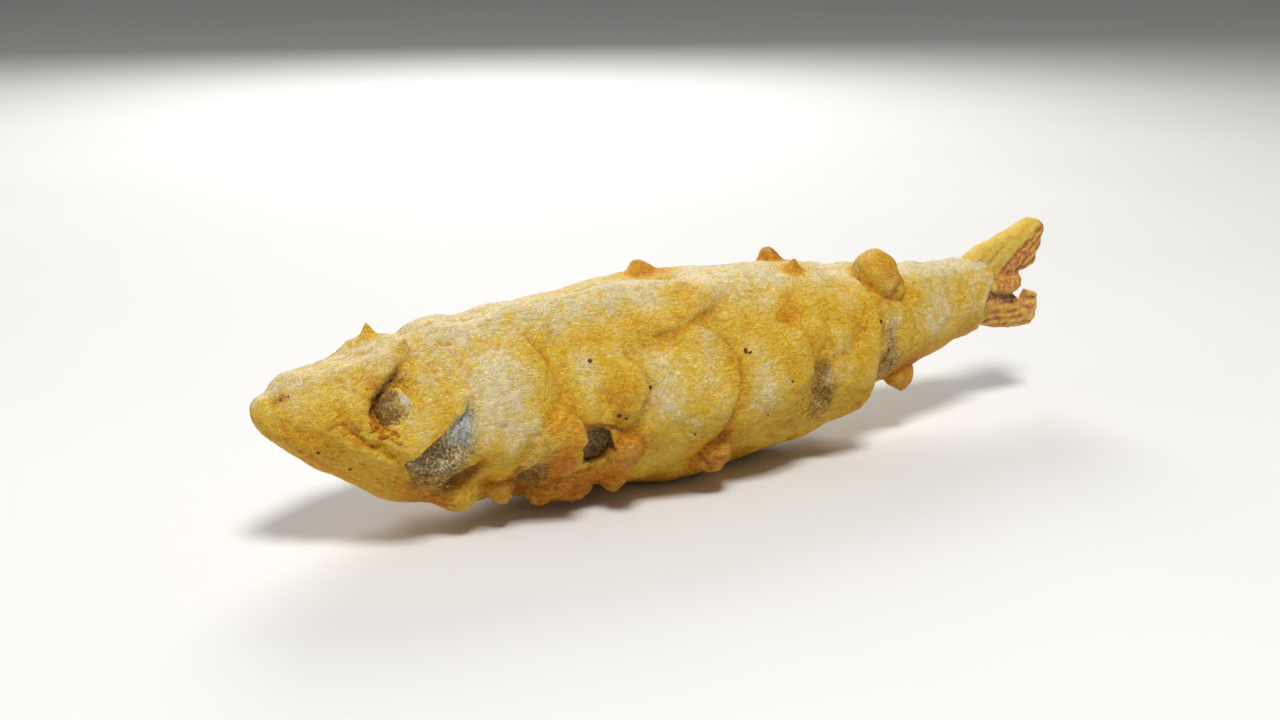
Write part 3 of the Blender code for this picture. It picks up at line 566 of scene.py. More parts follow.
tail = {
    "coreFrontX": -43.2, "coreEndX": 33.4,
    "voxel": 0.2,
    # outlines seen from the side, as x and z
    "upper": [(32.6, 12.9), (33.6, 16.3), (35.2, 17.7), (37.4, 18.4), (40.2, 19.3), (42.3, 20.15),
              (43.6, 20.35), (44.7, 19.9), (45.0, 18.9), (44.6, 18.2), (44.75, 17.4), (44.2, 16.6),
              (43.9, 15.5), (42.6, 14.9), (41.4, 14.6), (40.2, 13.6), (38.6, 12.6), (36.0, 11.5)],
    "lower": [(33.0, 12.4), (35.6, 12.5), (37.8, 12.7), (39.8, 12.7), (41.2, 12.0), (42.0, 10.9),
              (43.0, 10.6), (43.5, 10.9), (43.8, 11.8), (44.1, 12.15), (44.4, 11.7), (44.4, 10.6),
              (44.1, 9.1), (43.5, 8.5), (41.2, 8.4), (38.4, 8.7), (36.4, 9.2), (34.0, 9.9)],
    "upperThick": 1.05, "lowerThick": 1.5, "edgeRound": 1.1,
    # the knob between the lobes: middle as x, y and z, then half sizes
    "nubs": [(39.5, -1.0, 13.6, 1.75, 1.1, 1.2), (40.7, -0.7, 13.8, 0.95, 0.8, 1.05),
             (38.0, -0.9, 13.3, 1.1, 0.8, 0.8)],
    "nubUneven": 0.18,
    "splitZ": 13.2, "lowerMiddleZ": 9.2,  # between the lobes, and along the middle of the lower one
    "upperBrownX": 37.5, "lowerBrownX": 36.0, "brownSoft": 0.22,  # where the brown begins
    "lowerCrustX": 37.8, "lowerCrustZ": 12.6,
    "crevice": [(34.8, 14.4), (35.6, 13.2), (37.0, 12.5), (39.0, 12.2), (40.6, 12.3)],
    "ridge": [(36.0, 15.2), (37.1, 15.6), (38.3, 16.4), (40.3, 17.8), (42.4, 19.1), (43.8, 19.9)],
    "ridgeHeight": 0.16,
    "brownEdge": [(36.6, 13.9), (37.8, 14.8), (38.6, 15.6), (40.1, 16.7), (42.1, 18.1), (44.0, 19.4),
                  (45.5, 20.3)],
    "rayFootX": 38.0, "rayFootZ": 14.0, "rayTilt": math.radians(38.0),
    "rowPitch": 0.75, "rowPitchLow": 0.85, "rowHeight": 0.2,
    "streakPitch": 0.95, "streakHeight": 0.04, "gritSize": 0.5, "gritHeight": 0.1,
}


def turnTo(up):
    # turns the z axis to the given way, and keeps the x axis along the fish
    along = (Vector((1.0, 0.0, 0.0)) - up * up.x).normalized()
    return Matrix((along, up.cross(along), up)).transposed()


def beadMesh(name, bead):
    x, angle, sunk, halfLength, halfBreadth, height, pointed, tiltX, tiltZ = bead
    base, normal = pointAndNormal(x, angle, -sunk)
    up = (normal + Vector((tiltX, 0.0, tiltZ))).normalized()
    turn = turnTo(up)

    def shaper(p):
        rise = max(p.z, 0.0)
        slim = 1.0 - pointed * 0.75 * rise**0.8
        wobble = 1.0 + coat["beadUneven"] * noise.noise(p * 1.6 + base)
        local = Vector((p.x * halfLength * slim, p.y * halfBreadth * slim, p.z * height)) * wobble
        return base + turn @ local

    return ballMesh(name, 5, shaper)


def openingMesh(name, corners):
    # a plug with a ragged outline that cuts one opening through the coat
    corners = np.array(corners, float)
    count = 72
    t = np.arange(count) * len(corners) / count
    k, f = t.astype(int), (t % 1.0)[:, None]
    p0, p1 = corners[(k - 1) % len(corners)], corners[k]
    p2, p3 = corners[(k + 1) % len(corners)], corners[(k + 2) % len(corners)]
    outline = 0.5 * (2 * p1 + (p2 - p0) * f + (2 * p0 - 5 * p1 + 4 * p2 - p3) * f**2
                     + (3 * p1 - p0 - 3 * p2 + p3) * f**3)
    middle = outline.mean(axis=0)
    degreesPerMm = math.degrees(1.0 / float(meanRadius(middle[0])))
    rings = []
    _, normal = pointAndNormal(middle[0], middle[1])
    ragged = [noise.noise(Vector((math.cos(a) * 2.3, math.sin(a) * 2.3, middle[0])))
              + 0.5 * noise.noise(Vector((math.cos(a) * 6.0, math.sin(a) * 6.0, middle[0])))
              for a in np.linspace(0, 2 * math.pi, count, endpoint=False)]
    under = coat["openingUnder"]["gill" if "gill" in name else "hole"]
    for depth, flare in ((-bodyShape["thickness"] - coat["openingOverrun"], under), (-1.2, under),
                         (-0.4, 0.5 + 0.5 * under), (0.3, 1.0), (coat["openingReach"], 1.0)):
        ring = []
        for (x, angle), rag in zip(outline, ragged):
            off = np.array((x - middle[0], (angle - middle[1]) / degreesPerMm))
            off *= flare * (1.0 + coat["openingRagged"] * rag / max(np.hypot(*off), 0.5))
            onSkin, _ = pointAndNormal(middle[0] + off[0], middle[1] + off[1] * degreesPerMm)
            ring.append(onSkin + normal * depth)
        rings.append(ring)
    return loftMesh(name, rings)


def openingDistance(x, angle, corners):
    # distance on the unrolled skin to an opening, nought inside it
    middle = np.mean(corners, axis=0)
    radius = float(meanRadius(middle[0]))

    def unrolled(xs, angles):
        return np.stack([xs, np.radians(wrap(angles - middle[1])) * radius], axis=-1)

    outline = smoothOutline(unrolled(*np.array(corners, float).T))
    flat = unrolled(np.ravel(x), np.ravel(angle))
    near = np.hypot(*(flat - outline.mean(axis=0)).T) < 12.0
    result = np.full(len(flat), 1e3)
    distance, inside = outlineDistance(flat[near], outline)
    result[near] = np.where(inside, 0.0, distance)
    return result.reshape(np.shape(x))


def coreInset(x, angle):
    # the fish lies deep under the batter, but comes up to it at the gills and some way at the holes
    inset = np.full(np.shape(x), -bodyShape["thickness"])
    relief = bodyRelief(x, angle)
    for name, corners in coat["openings"].items():
        taper = coat["gillTaper" if "gill" in name else "holeTaper"]
        reach = np.exp(-((openingDistance(x, angle, corners) / taper) ** 2))
        under = relief - coat["gillUnder"] if "gill" in name else -coat["holeUnder"] * np.ones(np.shape(x))
        inset = inset + reach * np.clip(under - inset, 0.0, None)
    return inset


def coreRings(along, around):
    angles = np.arange(around) * 360.0 / around
    rings = []
    for x in np.linspace(tail["coreFrontX"], tail["coreEndX"], along):
        xs = np.full(around, x)
        rings.append(skinPoints(xs, angles, coreInset(xs, angles)))
    return rings


def eyeBall(name, side, grow, detail):
    # an uneven ball, flatter outwards than it is wide
    centre, up = pointAndNormal(eye["x"], side * eye["angle"], -eye["sink"])
    up = (up + Vector((eye["lean"], 0.0, 0.0))).normalized()
    turn = turnTo(up)
    width, depth = eye["halfWidth"] + grow, eye["halfDepth"] + grow

    def shaper(p):
        wobble = 1.0 + eye["uneven"] * noise.noise(Vector((p.x * 1.7, p.y * side * 1.7, p.z * 1.7)))
        return centre + turn @ Vector((p.x * width, p.y * width, p.z * depth)) * wobble

    return ballMesh(name, detail, shaper)


class nodeBoard:
    # short ways to add nodes to a tree
    def __init__(self, tree):
        self.tree = tree

    def add(self, kind, inputs=None, **settings):
        node = self.tree.nodes.new(kind)
        for key, value in settings.items():
            setattr(node, key, value)
        for key, value in (inputs or {}).items():
            if isinstance(value, bpy.types.NodeSocket):
                self.tree.links.new(value, node.inputs[key])
            else:
                node.inputs[key].default_value = value
        return node

    def maths(self, operation, a, b=0.0, clamp=False):
        return self.add("ShaderNodeMath", {0: a, 1: b}, operation=operation, use_clamp=clamp).outputs[0]

    def times(self, a, b):
        return self.maths("MULTIPLY", a, b)

    def plus(self, total, *others):
        for value in others:
            total = self.maths("ADD", total, value)
        return total

    def minus(self, a, b, clamp=False):
        return self.maths("SUBTRACT", a, b, clamp)

    def centred(self, value, gain):
        return self.times(self.minus(value, 0.5), gain)

    def off(self, value, middle, gain):
        # how far a noise is from its middle, so that nought draws fine winding lines
        return self.times(self.maths("ABSOLUTE", self.minus(value, middle)), gain)


def ownField(board, name, kind="FLOAT"):
    # a value that the mesh itself carries at each point
    return board.add("GeometryNodeInputNamedAttribute", {"Name": name}, data_type=kind).outputs[0]


def newTree(name, inputs):
    # a Geometry Nodes tree with named inputs
    tree = bpy.data.node_groups.new(name, "GeometryNodeTree")
    tree.is_modifier = True
    for label, kind, value in [("Geometry", "Geometry", None), *inputs, ("Material", "Material", None)]:
        socket = tree.interface.new_socket(label, in_out="INPUT", socket_type="NodeSocket" + kind)
        if value is not None:
            socket.default_value = value
    tree.interface.new_socket("Geometry", in_out="OUTPUT", socket_type="NodeSocketGeometry")
    board = nodeBoard(tree)
    return board, board.add("NodeGroupInput").outputs


def closeTree(board, start, geometry):
    realized = board.add("GeometryNodeRealizeInstances", {0: geometry}).outputs[0]
    painted = board.add("GeometryNodeSetMaterial", {"Geometry": realized, "Material": start["Material"]})
    board.add("NodeGroupOutput", {0: painted.outputs[0]})
    return board.tree


def reliefTree():
    # wrinkles and grain pushed out of a surface along its normals
    board, start = newTree("crustRelief", [
        ("Wrinkle height", "Float", 0.0001), ("Wrinkle size", "Float", 0.001),
        ("Grain height", "Float", 0.00003), ("Grain size", "Float", 0.0004),
        ("Wrinkle gain", "Float", 1.5), ("Seed", "Float", 1.0)])
    place = board.add("GeometryNodeInputPosition").outputs[0]
    lengthways = board.add("ShaderNodeVectorMath", {0: place, 1: (0.6, 1.0, 1.0)}, operation="MULTIPLY")

    def noiseOf(size, detail, distortion):
        return board.add("ShaderNodeTexNoise", {
            "Vector": lengthways.outputs[0], "W": start["Seed"], "Scale": board.maths("DIVIDE", 1.0, size),
            "Detail": detail, "Distortion": distortion}, noise_dimensions="4D").outputs[0]

    gain = board.plus(1.0, board.times(ownField(board, "wrinkled"), start["Wrinkle gain"]))
    folded = board.minus(0.55, board.off(noiseOf(start["Wrinkle size"], 2.0, 0.6), 0.5, 4.0))
    grain = board.minus(noiseOf(start["Grain size"], 1.0, 0.3), 0.5)
    push = board.plus(board.times(folded, board.times(gain, start["Wrinkle height"])),
                      board.times(grain, board.times(gain, start["Grain height"])))
    normal = board.add("GeometryNodeInputNormal").outputs[0]
    offset = board.add("ShaderNodeVectorMath", {0: normal, "Scale": push}, operation="SCALE").outputs[0]
    moved = board.add("GeometryNodeSetPosition", {"Geometry": start["Geometry"], "Offset": offset})
    return closeTree(board, start, moved.outputs[0])


def scatterTree():
    # small rounded grains on given points, each with its own size and turn
    board, start = newTree("grainScatter", [
        ("Size", "Float", 0.0003), ("Uneven", "Float", 0.4), ("Flatness", "Float", 0.6), ("Seed", "Int", 1)])

    def vectors(operation, inputs):
        return board.add("ShaderNodeVectorMath", inputs, operation=operation).outputs[0]

    ball = board.add("GeometryNodeMeshIcoSphere", {"Subdivisions": 2, "Radius": 1.0})
    points = board.add("GeometryNodeMeshToPoints", {"Mesh": start["Geometry"]})
    spread = board.add("FunctionNodeRandomValue", {
        "Seed": start["Seed"], "Min": board.minus(1.0, start["Uneven"]),
        "Max": board.plus(1.0, start["Uneven"])}, data_type="FLOAT_VECTOR")
    sized = vectors("SCALE", {0: spread.outputs["Value"], "Scale": start["Size"]})
    sized = vectors("SCALE", {0: sized, "Scale": ownField(board, "size")})
    flat = board.add("ShaderNodeCombineXYZ", {"X": 1.0, "Y": 1.0, "Z": start["Flatness"]})
    shaped = vectors("MULTIPLY", {0: sized, 1: flat.outputs[0]})
    outward = ownField(board, "outward", "FLOAT_VECTOR")
    turned = board.add("FunctionNodeAlignRotationToVector", {"Vector": outward}, axis="Z")
    grains = board.add("GeometryNodeInstanceOnPoints", {
        "Points": points.outputs[0], "Instance": ball.outputs["Mesh"], "Scale": shaped,
        "Rotation": turned.outputs[0]})
    return closeTree(board, start, grains.outputs[0])


def runTree(obj, tree, values):
    modifier = obj.modifiers.new(tree.name, "NODES")
    modifier.node_group = tree
    sockets = {item.name: item.identifier for item in tree.interface.items_tree
               if item.item_type == "SOCKET" and item.in_out == "INPUT"}
    for name, value in values.items():
        modifier[sockets[name]] = value
    return bakeModifiers(obj)


def outlineDistance(points2d, outline):
    # distance to a closed outline, and whether each point is inside it
    outline = np.asarray(outline, float)
    best = np.full(len(points2d), 1e9)
    inside = np.zeros(len(points2d), bool)
    px, py = points2d[:, 0], points2d[:, 1]
    for (ax, ay), (bx, by) in zip(outline, np.roll(outline, -1, axis=0)):
        dx, dy = bx - ax, by - ay
        t = np.clip(((px - ax) * dx + (py - ay) * dy) / (dx * dx + dy * dy), 0.0, 1.0)
        best = np.minimum(best, np.hypot(px - ax - t * dx, py - ay - t * dy))
        if ay != by:
            inside ^= ((ay > py) != (by > py)) & (px < (bx - ax) * (py - ay) / (by - ay) + ax)
    return best, inside


def smoothOutline(outline, steps=6):
    outline = np.asarray(outline, float)
    k = np.arange(len(outline) * steps) // steps
    f = (np.arange(len(outline) * steps) % steps / steps)[:, None]
    n = len(outline)
    p0, p1, p2, p3 = (outline[(k + s) % n] for s in (-1, 0, 1, 2))
    return 0.5 * (2 * p1 + (p2 - p0) * f + (2 * p0 - 5 * p1 + 4 * p2 - p3) * f**2
                  + (3 * p1 - p0 - 3 * p2 + p3) * f**3)


def fanMesh(name, outline, thick):
    # one tail lobe: full in the middle and thin towards its edge
    outline = smoothOutline(outline)
    rings = [[Vector((x, y, z)) for x, z in outline] for y in (-thick, thick)]
    slab = newObject(name, loftMesh(name, rings))
    meltTogether(slab, 0.25, 0)
    points = getPoints(slab.data)
    distance, _ = outlineDistance(points[:, [0, 2]], outline)
    fullness = np.clip(distance / tail["edgeRound"], 0.0, 1.0)
    points[:, 1] *= 0.4 + 0.6 * np.sqrt(1.0 - (1.0 - fullness) ** 2)
    setPoints(slab.data, points)
    mesh = slab.data
    bpy.data.objects.remove(slab)
    return mesh


def lineDistance(points2d, line):
    best = np.full(len(points2d), 1e9)
    for (ax, ay), (bx, by) in zip(line, line[1:]):
        dx, dy = bx - ax, by - ay
        t = np.clip(((points2d[:, 0] - ax) * dx + (points2d[:, 1] - ay) * dy) / (dx * dx + dy * dy), 0.0, 1.0)
        best = np.minimum(best, np.hypot(points2d[:, 0] - ax - t * dx, points2d[:, 1] - ay - t * dy))
    return best


def rayPlace(x, z):
    # place along and across the rays of the upper lobe
    c, t = math.cos(tail["rayTilt"]), math.sin(tail["rayTilt"])
    dx, dz = x - tail["rayFootX"], z - tail["rayFootZ"]
    return dx * c + dz * t, dz * c - dx * t


def finFields(points):
    # where the fin is fried brown, where its rays run and where it stays yellow
    flat = points[:, [0, 2]]
    x, z = flat.T
    zEdge = np.interp(x, *np.array(tail["brownEdge"]).T)
    upper = z > tail["splitZ"]
    brown = np.where(upper, 1.0 / (1.0 + np.exp((z - zEdge) / tail["brownSoft"])), 0.6)
    brown = np.where(x < np.where(upper, tail["upperBrownX"], tail["lowerBrownX"]), 0.0, brown)
    nubX, _, nubZ = tail["nubs"][0][:3]
    onNub = np.exp(-(np.hypot((x - nubX) / 1.7, (z - nubZ) / 1.15) ** 6))
    brown = brown * (1.0 - 0.15 * onNub)
    rayAlong, rayAcross = rayPlace(x, z)
    along = np.where(upper, rayAlong, x)
    across = np.where(upper, rayAcross, z - tail["lowerMiddleZ"])
    pitch = np.where(upper, tail["rowPitch"], tail["rowPitchLow"])
    stretched = np.stack([along * 1.5, across * 4.2, points[:, 1] * 0.8], axis=-1)
    rows = 0.35 * np.sin((across + 0.25 * noiseAt(stretched, 2.5)) * 2 * math.pi / pitch)
    rows = rows + 1.3 * noiseAt(stretched, 1.6)
    # painted shade: the crevice under the knob is drawn brown, and sunk
    crevice = np.exp(-((lineDistance(flat, tail["crevice"]) / 0.42) ** 2))
    return np.maximum(brown, 0.9 * crevice), np.clip(rows * (1.0 - onNub) - 1.5 * crevice, -1.0, 1.0)


def shapeFin(mesh):
    points, normals = getPoints(mesh), getNormals(mesh)
    flat = points[:, [0, 2]]
    x, z = flat.T
    brown, rows = finFields(points)
    sideways = np.abs(normals[:, 1])
    ridge = np.exp(-((lineDistance(flat, tail["ridge"]) / 0.45) ** 2)) * tail["ridgeHeight"]
    crust = brown * (0.5 + 0.5 * rows) * tail["rowHeight"]
    lower = (z < tail["lowerCrustZ"]) & (x > tail["lowerCrustX"])
    crust = np.where(lower, (0.5 + 0.5 * rows) * tail["rowHeight"], crust)
    streaks = np.sin(rayPlace(x, z)[1] * 2 * math.pi / tail["streakPitch"])
    crust += tail["streakHeight"] * (1.0 - brown) * (z > tail["rayFootZ"]) * streaks
    rough = np.where(x > tail["upperBrownX"], 0.4 + brown, 0.2)
    grit = noiseAt(points, tail["gritSize"]) * tail["gritHeight"] * rough
    points += normals * ((ridge + crust) * sideways + grit)[:, None]
    setPoints(mesh, points)


def cutAway(obj, mesh):
    other = newObject("other", mesh)
    boolean = obj.modifiers.new("cut", "BOOLEAN")
    boolean.operation = "DIFFERENCE"
    boolean.object = other
    boolean.solver = "MANIFOLD"
    bakeModifiers(obj)
    bpy.data.objects.remove(other)
    bpy.data.meshes.remove(mesh)


def buildCoat():
    snoutX, endX = bodyShape["snoutX"], bodyShape["coatEndX"]
    # the rings stand closer together near the snout
    t = np.linspace(0.015, 1.0, coat["ringsAlong"])
    xs = snoutX + (endX - snoutX) * t ** (1.0 + 0.9 * np.exp(-6 * t))
    angles = np.arange(coat["pointsAround"]) * 360.0 / coat["pointsAround"]
    gridX, gridA = np.meshgrid(xs, angles, indexing="ij")
    relief = bodyRelief(gridX, gridA)
    rimHeight, pushX, pushA = rimField(gridX, gridA)
    bulge = collarField(gridX, gridA)
    pushedA = gridA + np.degrees(pushA / meanRadius(gridX))
    skin = skinPoints(gridX + pushX + bulge, pushedA, relief + rimHeight)
    meshes = [loftMesh("skin", list(skin))]
    meshes += [beadMesh(name, bead) for name, bead in coat["beads"].items()]
    body = newObject("batterCoat", joinMeshes("batterCoat", meshes))
    meltTogether(body, coat["voxel"], coat["softening"])
    points = getPoints(body.data)
    low = np.minimum(points[:, 2], coat["restSoft"])
    points[:, 2] += coat["restSoft"] * np.exp(low / coat["restSoft"] - 1.0) - low  # it lies flat on its belly
    setPoints(body.data, points)
    print("coat outside:", len(body.data.polygons), "faces")
    return body


def collarField(x, angle):
    # the coat's end reaches further along the tail in some places than in others
    reach = np.interp(wrap(angle), *np.array(coat["collarReach"]).T)
    fromX = coat["collarFromX"]
    return reach * np.clip((x - fromX) / (bodyShape["coatEndX"] - fromX), 0.0, 1.0) ** 2


# where the batter is brown, gold with painted shade in its folds, floury with painted sheen, or dark: x,
# angle, half length, half breadth, strength and, where a spot is turned, how far
stains = {
    "crusty": mirrored([
        (-36.2, 80, 0.7, 0.9, 0.5), (-33.9, 46, 1, 2.2, 0.6), (-35.9, 62, 1, 3, 0.8),
        (-33.6, 96, 2.6, 0.8, 0.3, -45), (-31.5, 141, 3.6, 2.4, 0.75), (-42.9, 43, 0.9, 0.7, 0.7),
        (-41, 130, 3, 2.4, 0.4), (0, 150, 12, 3.6, 0.45), (29, 130, 6, 2.4, 0.35),
    ]) + [
        (-20.2, 112, 2.2, 3, 0.55), (-21.5, 138, 4.4, 3.8, 1.1), (-16, 147, 4.5, 3.8, 1.1),
        (-13.5, 113, 2.2, 2.5, 1), (-13, 146, 2.2, 2.4, 0.85), (-3.9, 126, 2.4, 3.4, 1.15),
        (-6.6, 110, 1.4, 2.2, 0.4, 20), (9.4, 13, 1.4, 1.2, 0.5), (9.5, -16, 2, 2, 0.6),
        (-4.4, -21, 2.8, 2.2, 0.6), (-4.6, 24, 1.4, 1.4, 0.5), (20, 29, 3, 3, 0.4),
        (23.2, 145, 2.2, 2.6, 1), (21.2, 42, 2.4, 0.8, 0.5), (21.7, 24, 0.8, 2.6, 0.75),
        (18, 9, 2.4, 0.7, 0.4), (-33, -27, 1, 1, 0.3), (-14.4, 88, 0.9, 0.8, 0.35),
        (-42.5, 60, 2, 3.6, 0.2), (14.2, 130, 1.6, 2.6, 0.5), (4.7, 53, 0.6, 1, 0.45),
        (9.2, 112, 1.8, 3, 0.5), (18.6, 116, 1.8, 2.8, 0.6), (-24.8, 137, 1.6, 2, 0.8),
        (-18.2, -88, 2.6, 3, 0.5), (-12.4, -64, 1.6, 1.8, 0.5), (-17.4, -146, 4.4, 3.2, 0.85),
        (-2.2, -134, 2.6, 2.8, 0.9), (-24.5, -139, 2.4, 2.2, 0.7), (19.4, -96, 1.8, 1.8, 0.6),
        (14.8, -122, 1.8, 4.4, 0.6), (5, -60, 1.2, 1.6, 0.5), (9.4, -114, 1.8, 3, 0.5),
        (-12.2, -117, 2.4, 2.2, 0.5),
    ],
    "wrinkled": mirrored([
        (-38, 104, 5, 3.4, 1, -20), (-33.6, 128, 4.6, 2.6, 1), (-28.6, 124, 1.8, 3.6, 1),
        (-34.8, 48, 1.8, 3.6, 2.2), (-36.6, 66, 1.2, 3, 2.2), (-36, 82, 2, 1.2, 1.6),
    ]) + [
        (-20.8, 104, 2.4, 3.6, 0.8), (-20, 140, 5, 3.4, 1.3), (-4.6, 118, 2.6, 3.4, 1),
        (-16.8, 70, 1.6, 3, 0.9), (4, 120, 4, 2.6, 0.8), (8.6, 104, 1.6, 4, 0.8), (-18, -138, 5, 3.4, 1.3),
        (-1.8, -124, 2.6, 3.4, 1), (-15, -66, 1.8, 3, 0.9), (8.6, -106, 2, 4, 0.8),
        (18.6, 108, 2, 3.6, 0.8),
    ],
    "smooth": [
        (19.6, 27, 2.8, 2.8, 0.85), (-9, 84, 2.4, 3.4, 0.5), (9.4, -15, 1.6, 1.6, 0.8),
        (9.3, 14, 1.4, 1.4, 0.8), (-5, -20, 3, 2, 0.7), (-32.8, 27, 1.4, 1.4, 0.8),
        (-33, -27, 1.6, 1.6, 0.8), (-3.9, 126, 1.2, 1.4, 1.2), (23.2, 145, 1.6, 2, 0.7),
        (-13.4, 113, 1.4, 1.6, 0.6),
    ],
    "flourAndSheen": mirrored([(33, 62, 2.6, 3.6, 0.6)]) + [
        (-25.8, 62, 2.8, 4.6, 1, 20), (-24.8, 84, 2, 3, 0.9, -10), (-29.6, 40, 2.4, 2.6, 0.6, 30),
        (-17.2, 61, 1.5, 2.6, 0.75), (-10.2, 78, 2, 4.4, 0.55), (0.3, 80, 1.4, 4, 0.65),
        (-5.2, 72, 1.2, 4, 0.4), (2.2, 22, 3.4, 2.8, 0.8), (13, 44, 1.4, 2, 0.5), (27.2, 58, 2.4, 4.4, 0.8),
        (25.6, 86, 2, 2, 0.7), (-40.8, 30, 3, 2.8, 0.7), (19.2, 72, 1.4, 3, 0.6),
        (-31.2, 52, 1.4, 2.2, 0.5), (-33, 74, 1.2, 1.6, 0.5), (-22.6, 104, 1.2, 2.6, 0.5),
        (-38.6, 44, 1.4, 1.6, 0.4), (-25.4, -60, 3, 4.4, 1, -20), (-21.8, -92, 1.8, 2.6, 0.7),
        (-29.8, -44, 2.2, 2.4, 0.6), (-10.4, -56, 2, 3.4, 0.8), (0.8, -72, 1.6, 3.6, 0.9),
        (10.9, -46, 2.6, 2.4, 0.6), (-5.6, -96, 2.2, 2.8, 0.6), (26.4, -56, 2.8, 4.2, 1),
        (20, -60, 1.6, 3.2, 0.6), (-40.4, -32, 3, 2.8, 0.6), (5.6, -104, 1.6, 2.6, 0.5),
    ],
    # gold of the knobs, beads and ball, and painted shade in the folds and hollows
    "goldAndShade": mirrored([(14, 128, 2, 3, 0.8)]) + [
        (-21, 47, 1.4, 2, 0.4), (-20.4, 88, 2, 2.6, 1), (-20.2, 108, 2.6, 3.4, 1.3), (-14, 80, 1.8, 3, 0.8),
        (-10.6, 106, 2.8, 2.4, 0.8), (-6.4, 121, 3.2, 2.4, 0.9), (3, 118, 5, 2.4, 1),
        (5.6, 46, 1.5, 1.6, 1), (12.8, 72, 1.1, 3.4, 0.7), (23.6, 128, 2.6, 2.8, 0.9),
        (30.5, 124, 4, 2.2, 0.7), (-5.4, 30, 2.6, 1.6, 0.5), (-4.6, -19, 3.4, 2.4, 1.1),
        (-38.2, 90, 2.4, 2.2, 0.4), (-35, 113, 2.6, 1.6, 0.6), (-43.2, 110, 2.6, 2.6, 0.5),
        (9.4, -15, 2, 2, 1.1), (9.3, 14, 1.5, 1.4, 0.9), (19.8, 28, 3.4, 3.4, 1.2),
        (-32.9, 27, 0.9, 1.1, 0.5), (-33, -27, 1.6, 1.6, 0.8), (-36.2, 78, 0.9, 1.2, 0.7),
        (24.2, 108, 2, 2, 0.5), (-18.4, -84, 1.6, 2.8, 0.8), (-13.4, -62, 1.4, 2.2, 0.8),
        (-9.8, -112, 2.8, 2.4, 0.8), (-1.8, -118, 3, 2.4, 0.8), (4.8, -58, 1.8, 2, 0.8),
        (8, -96, 1.4, 3.4, 0.8), (13, -80, 1.2, 3.4, 0.7), (24, -122, 3.4, 2.6, 0.9),
        (-38.2, -88, 2.4, 2.6, 0.7), (-22, -44, 1.8, 2.2, 0.5), (-30.6, -118, 1.6, 2, 0.4),
    ],
    # painted shade on the fish's skin inside the holes
    "holeShade": [(-16.6, 108, 4, 4, 1), (-12.2, -116, 3.6, 3.6, 1)],
    # silvery skin, drawn brightest at the top of each bare patch as a painted sheen
    "silver": mirrored([(-29.4, 79, 1, 2.2, 0.85, 20)]) + [
        (-28.3, 82, 1, 2.4, 0.7, 10), (9.5, 92, 0.7, 1.4, 0.6),
    ],
    "dark": mirrored([
        (-30, 98, 1.6, 3.6, 1, 20), (-31.2, 118, 2.4, 1.6, 0.95), (-32.6, 119, 1.4, 1.6, 0.6),
    ]) + [
        (-28.8, 81, 0.8, 2.4, 0.8, 10), (-28.6, -80, 0.8, 2.2, 0.8, -10), (8.5, 95, 1.1, 1.9, 1),
        (8.9, 109, 1.6, 3, 0.65), (18.7, 96, 1.6, 3.4, 0.6), (19.1, 117, 2, 3, 0.7),
        (-21.9, 128, 1.4, 2.4, 0.8, 10), (-22.6, 138, 1.6, 1.8, 0.75), (9.2, -112, 1.3, 2.6, 0.8),
        (-23.6, -128, 1.1, 2, 0.6), (19, -116, 1.3, 2.4, 0.6),
    ],
}
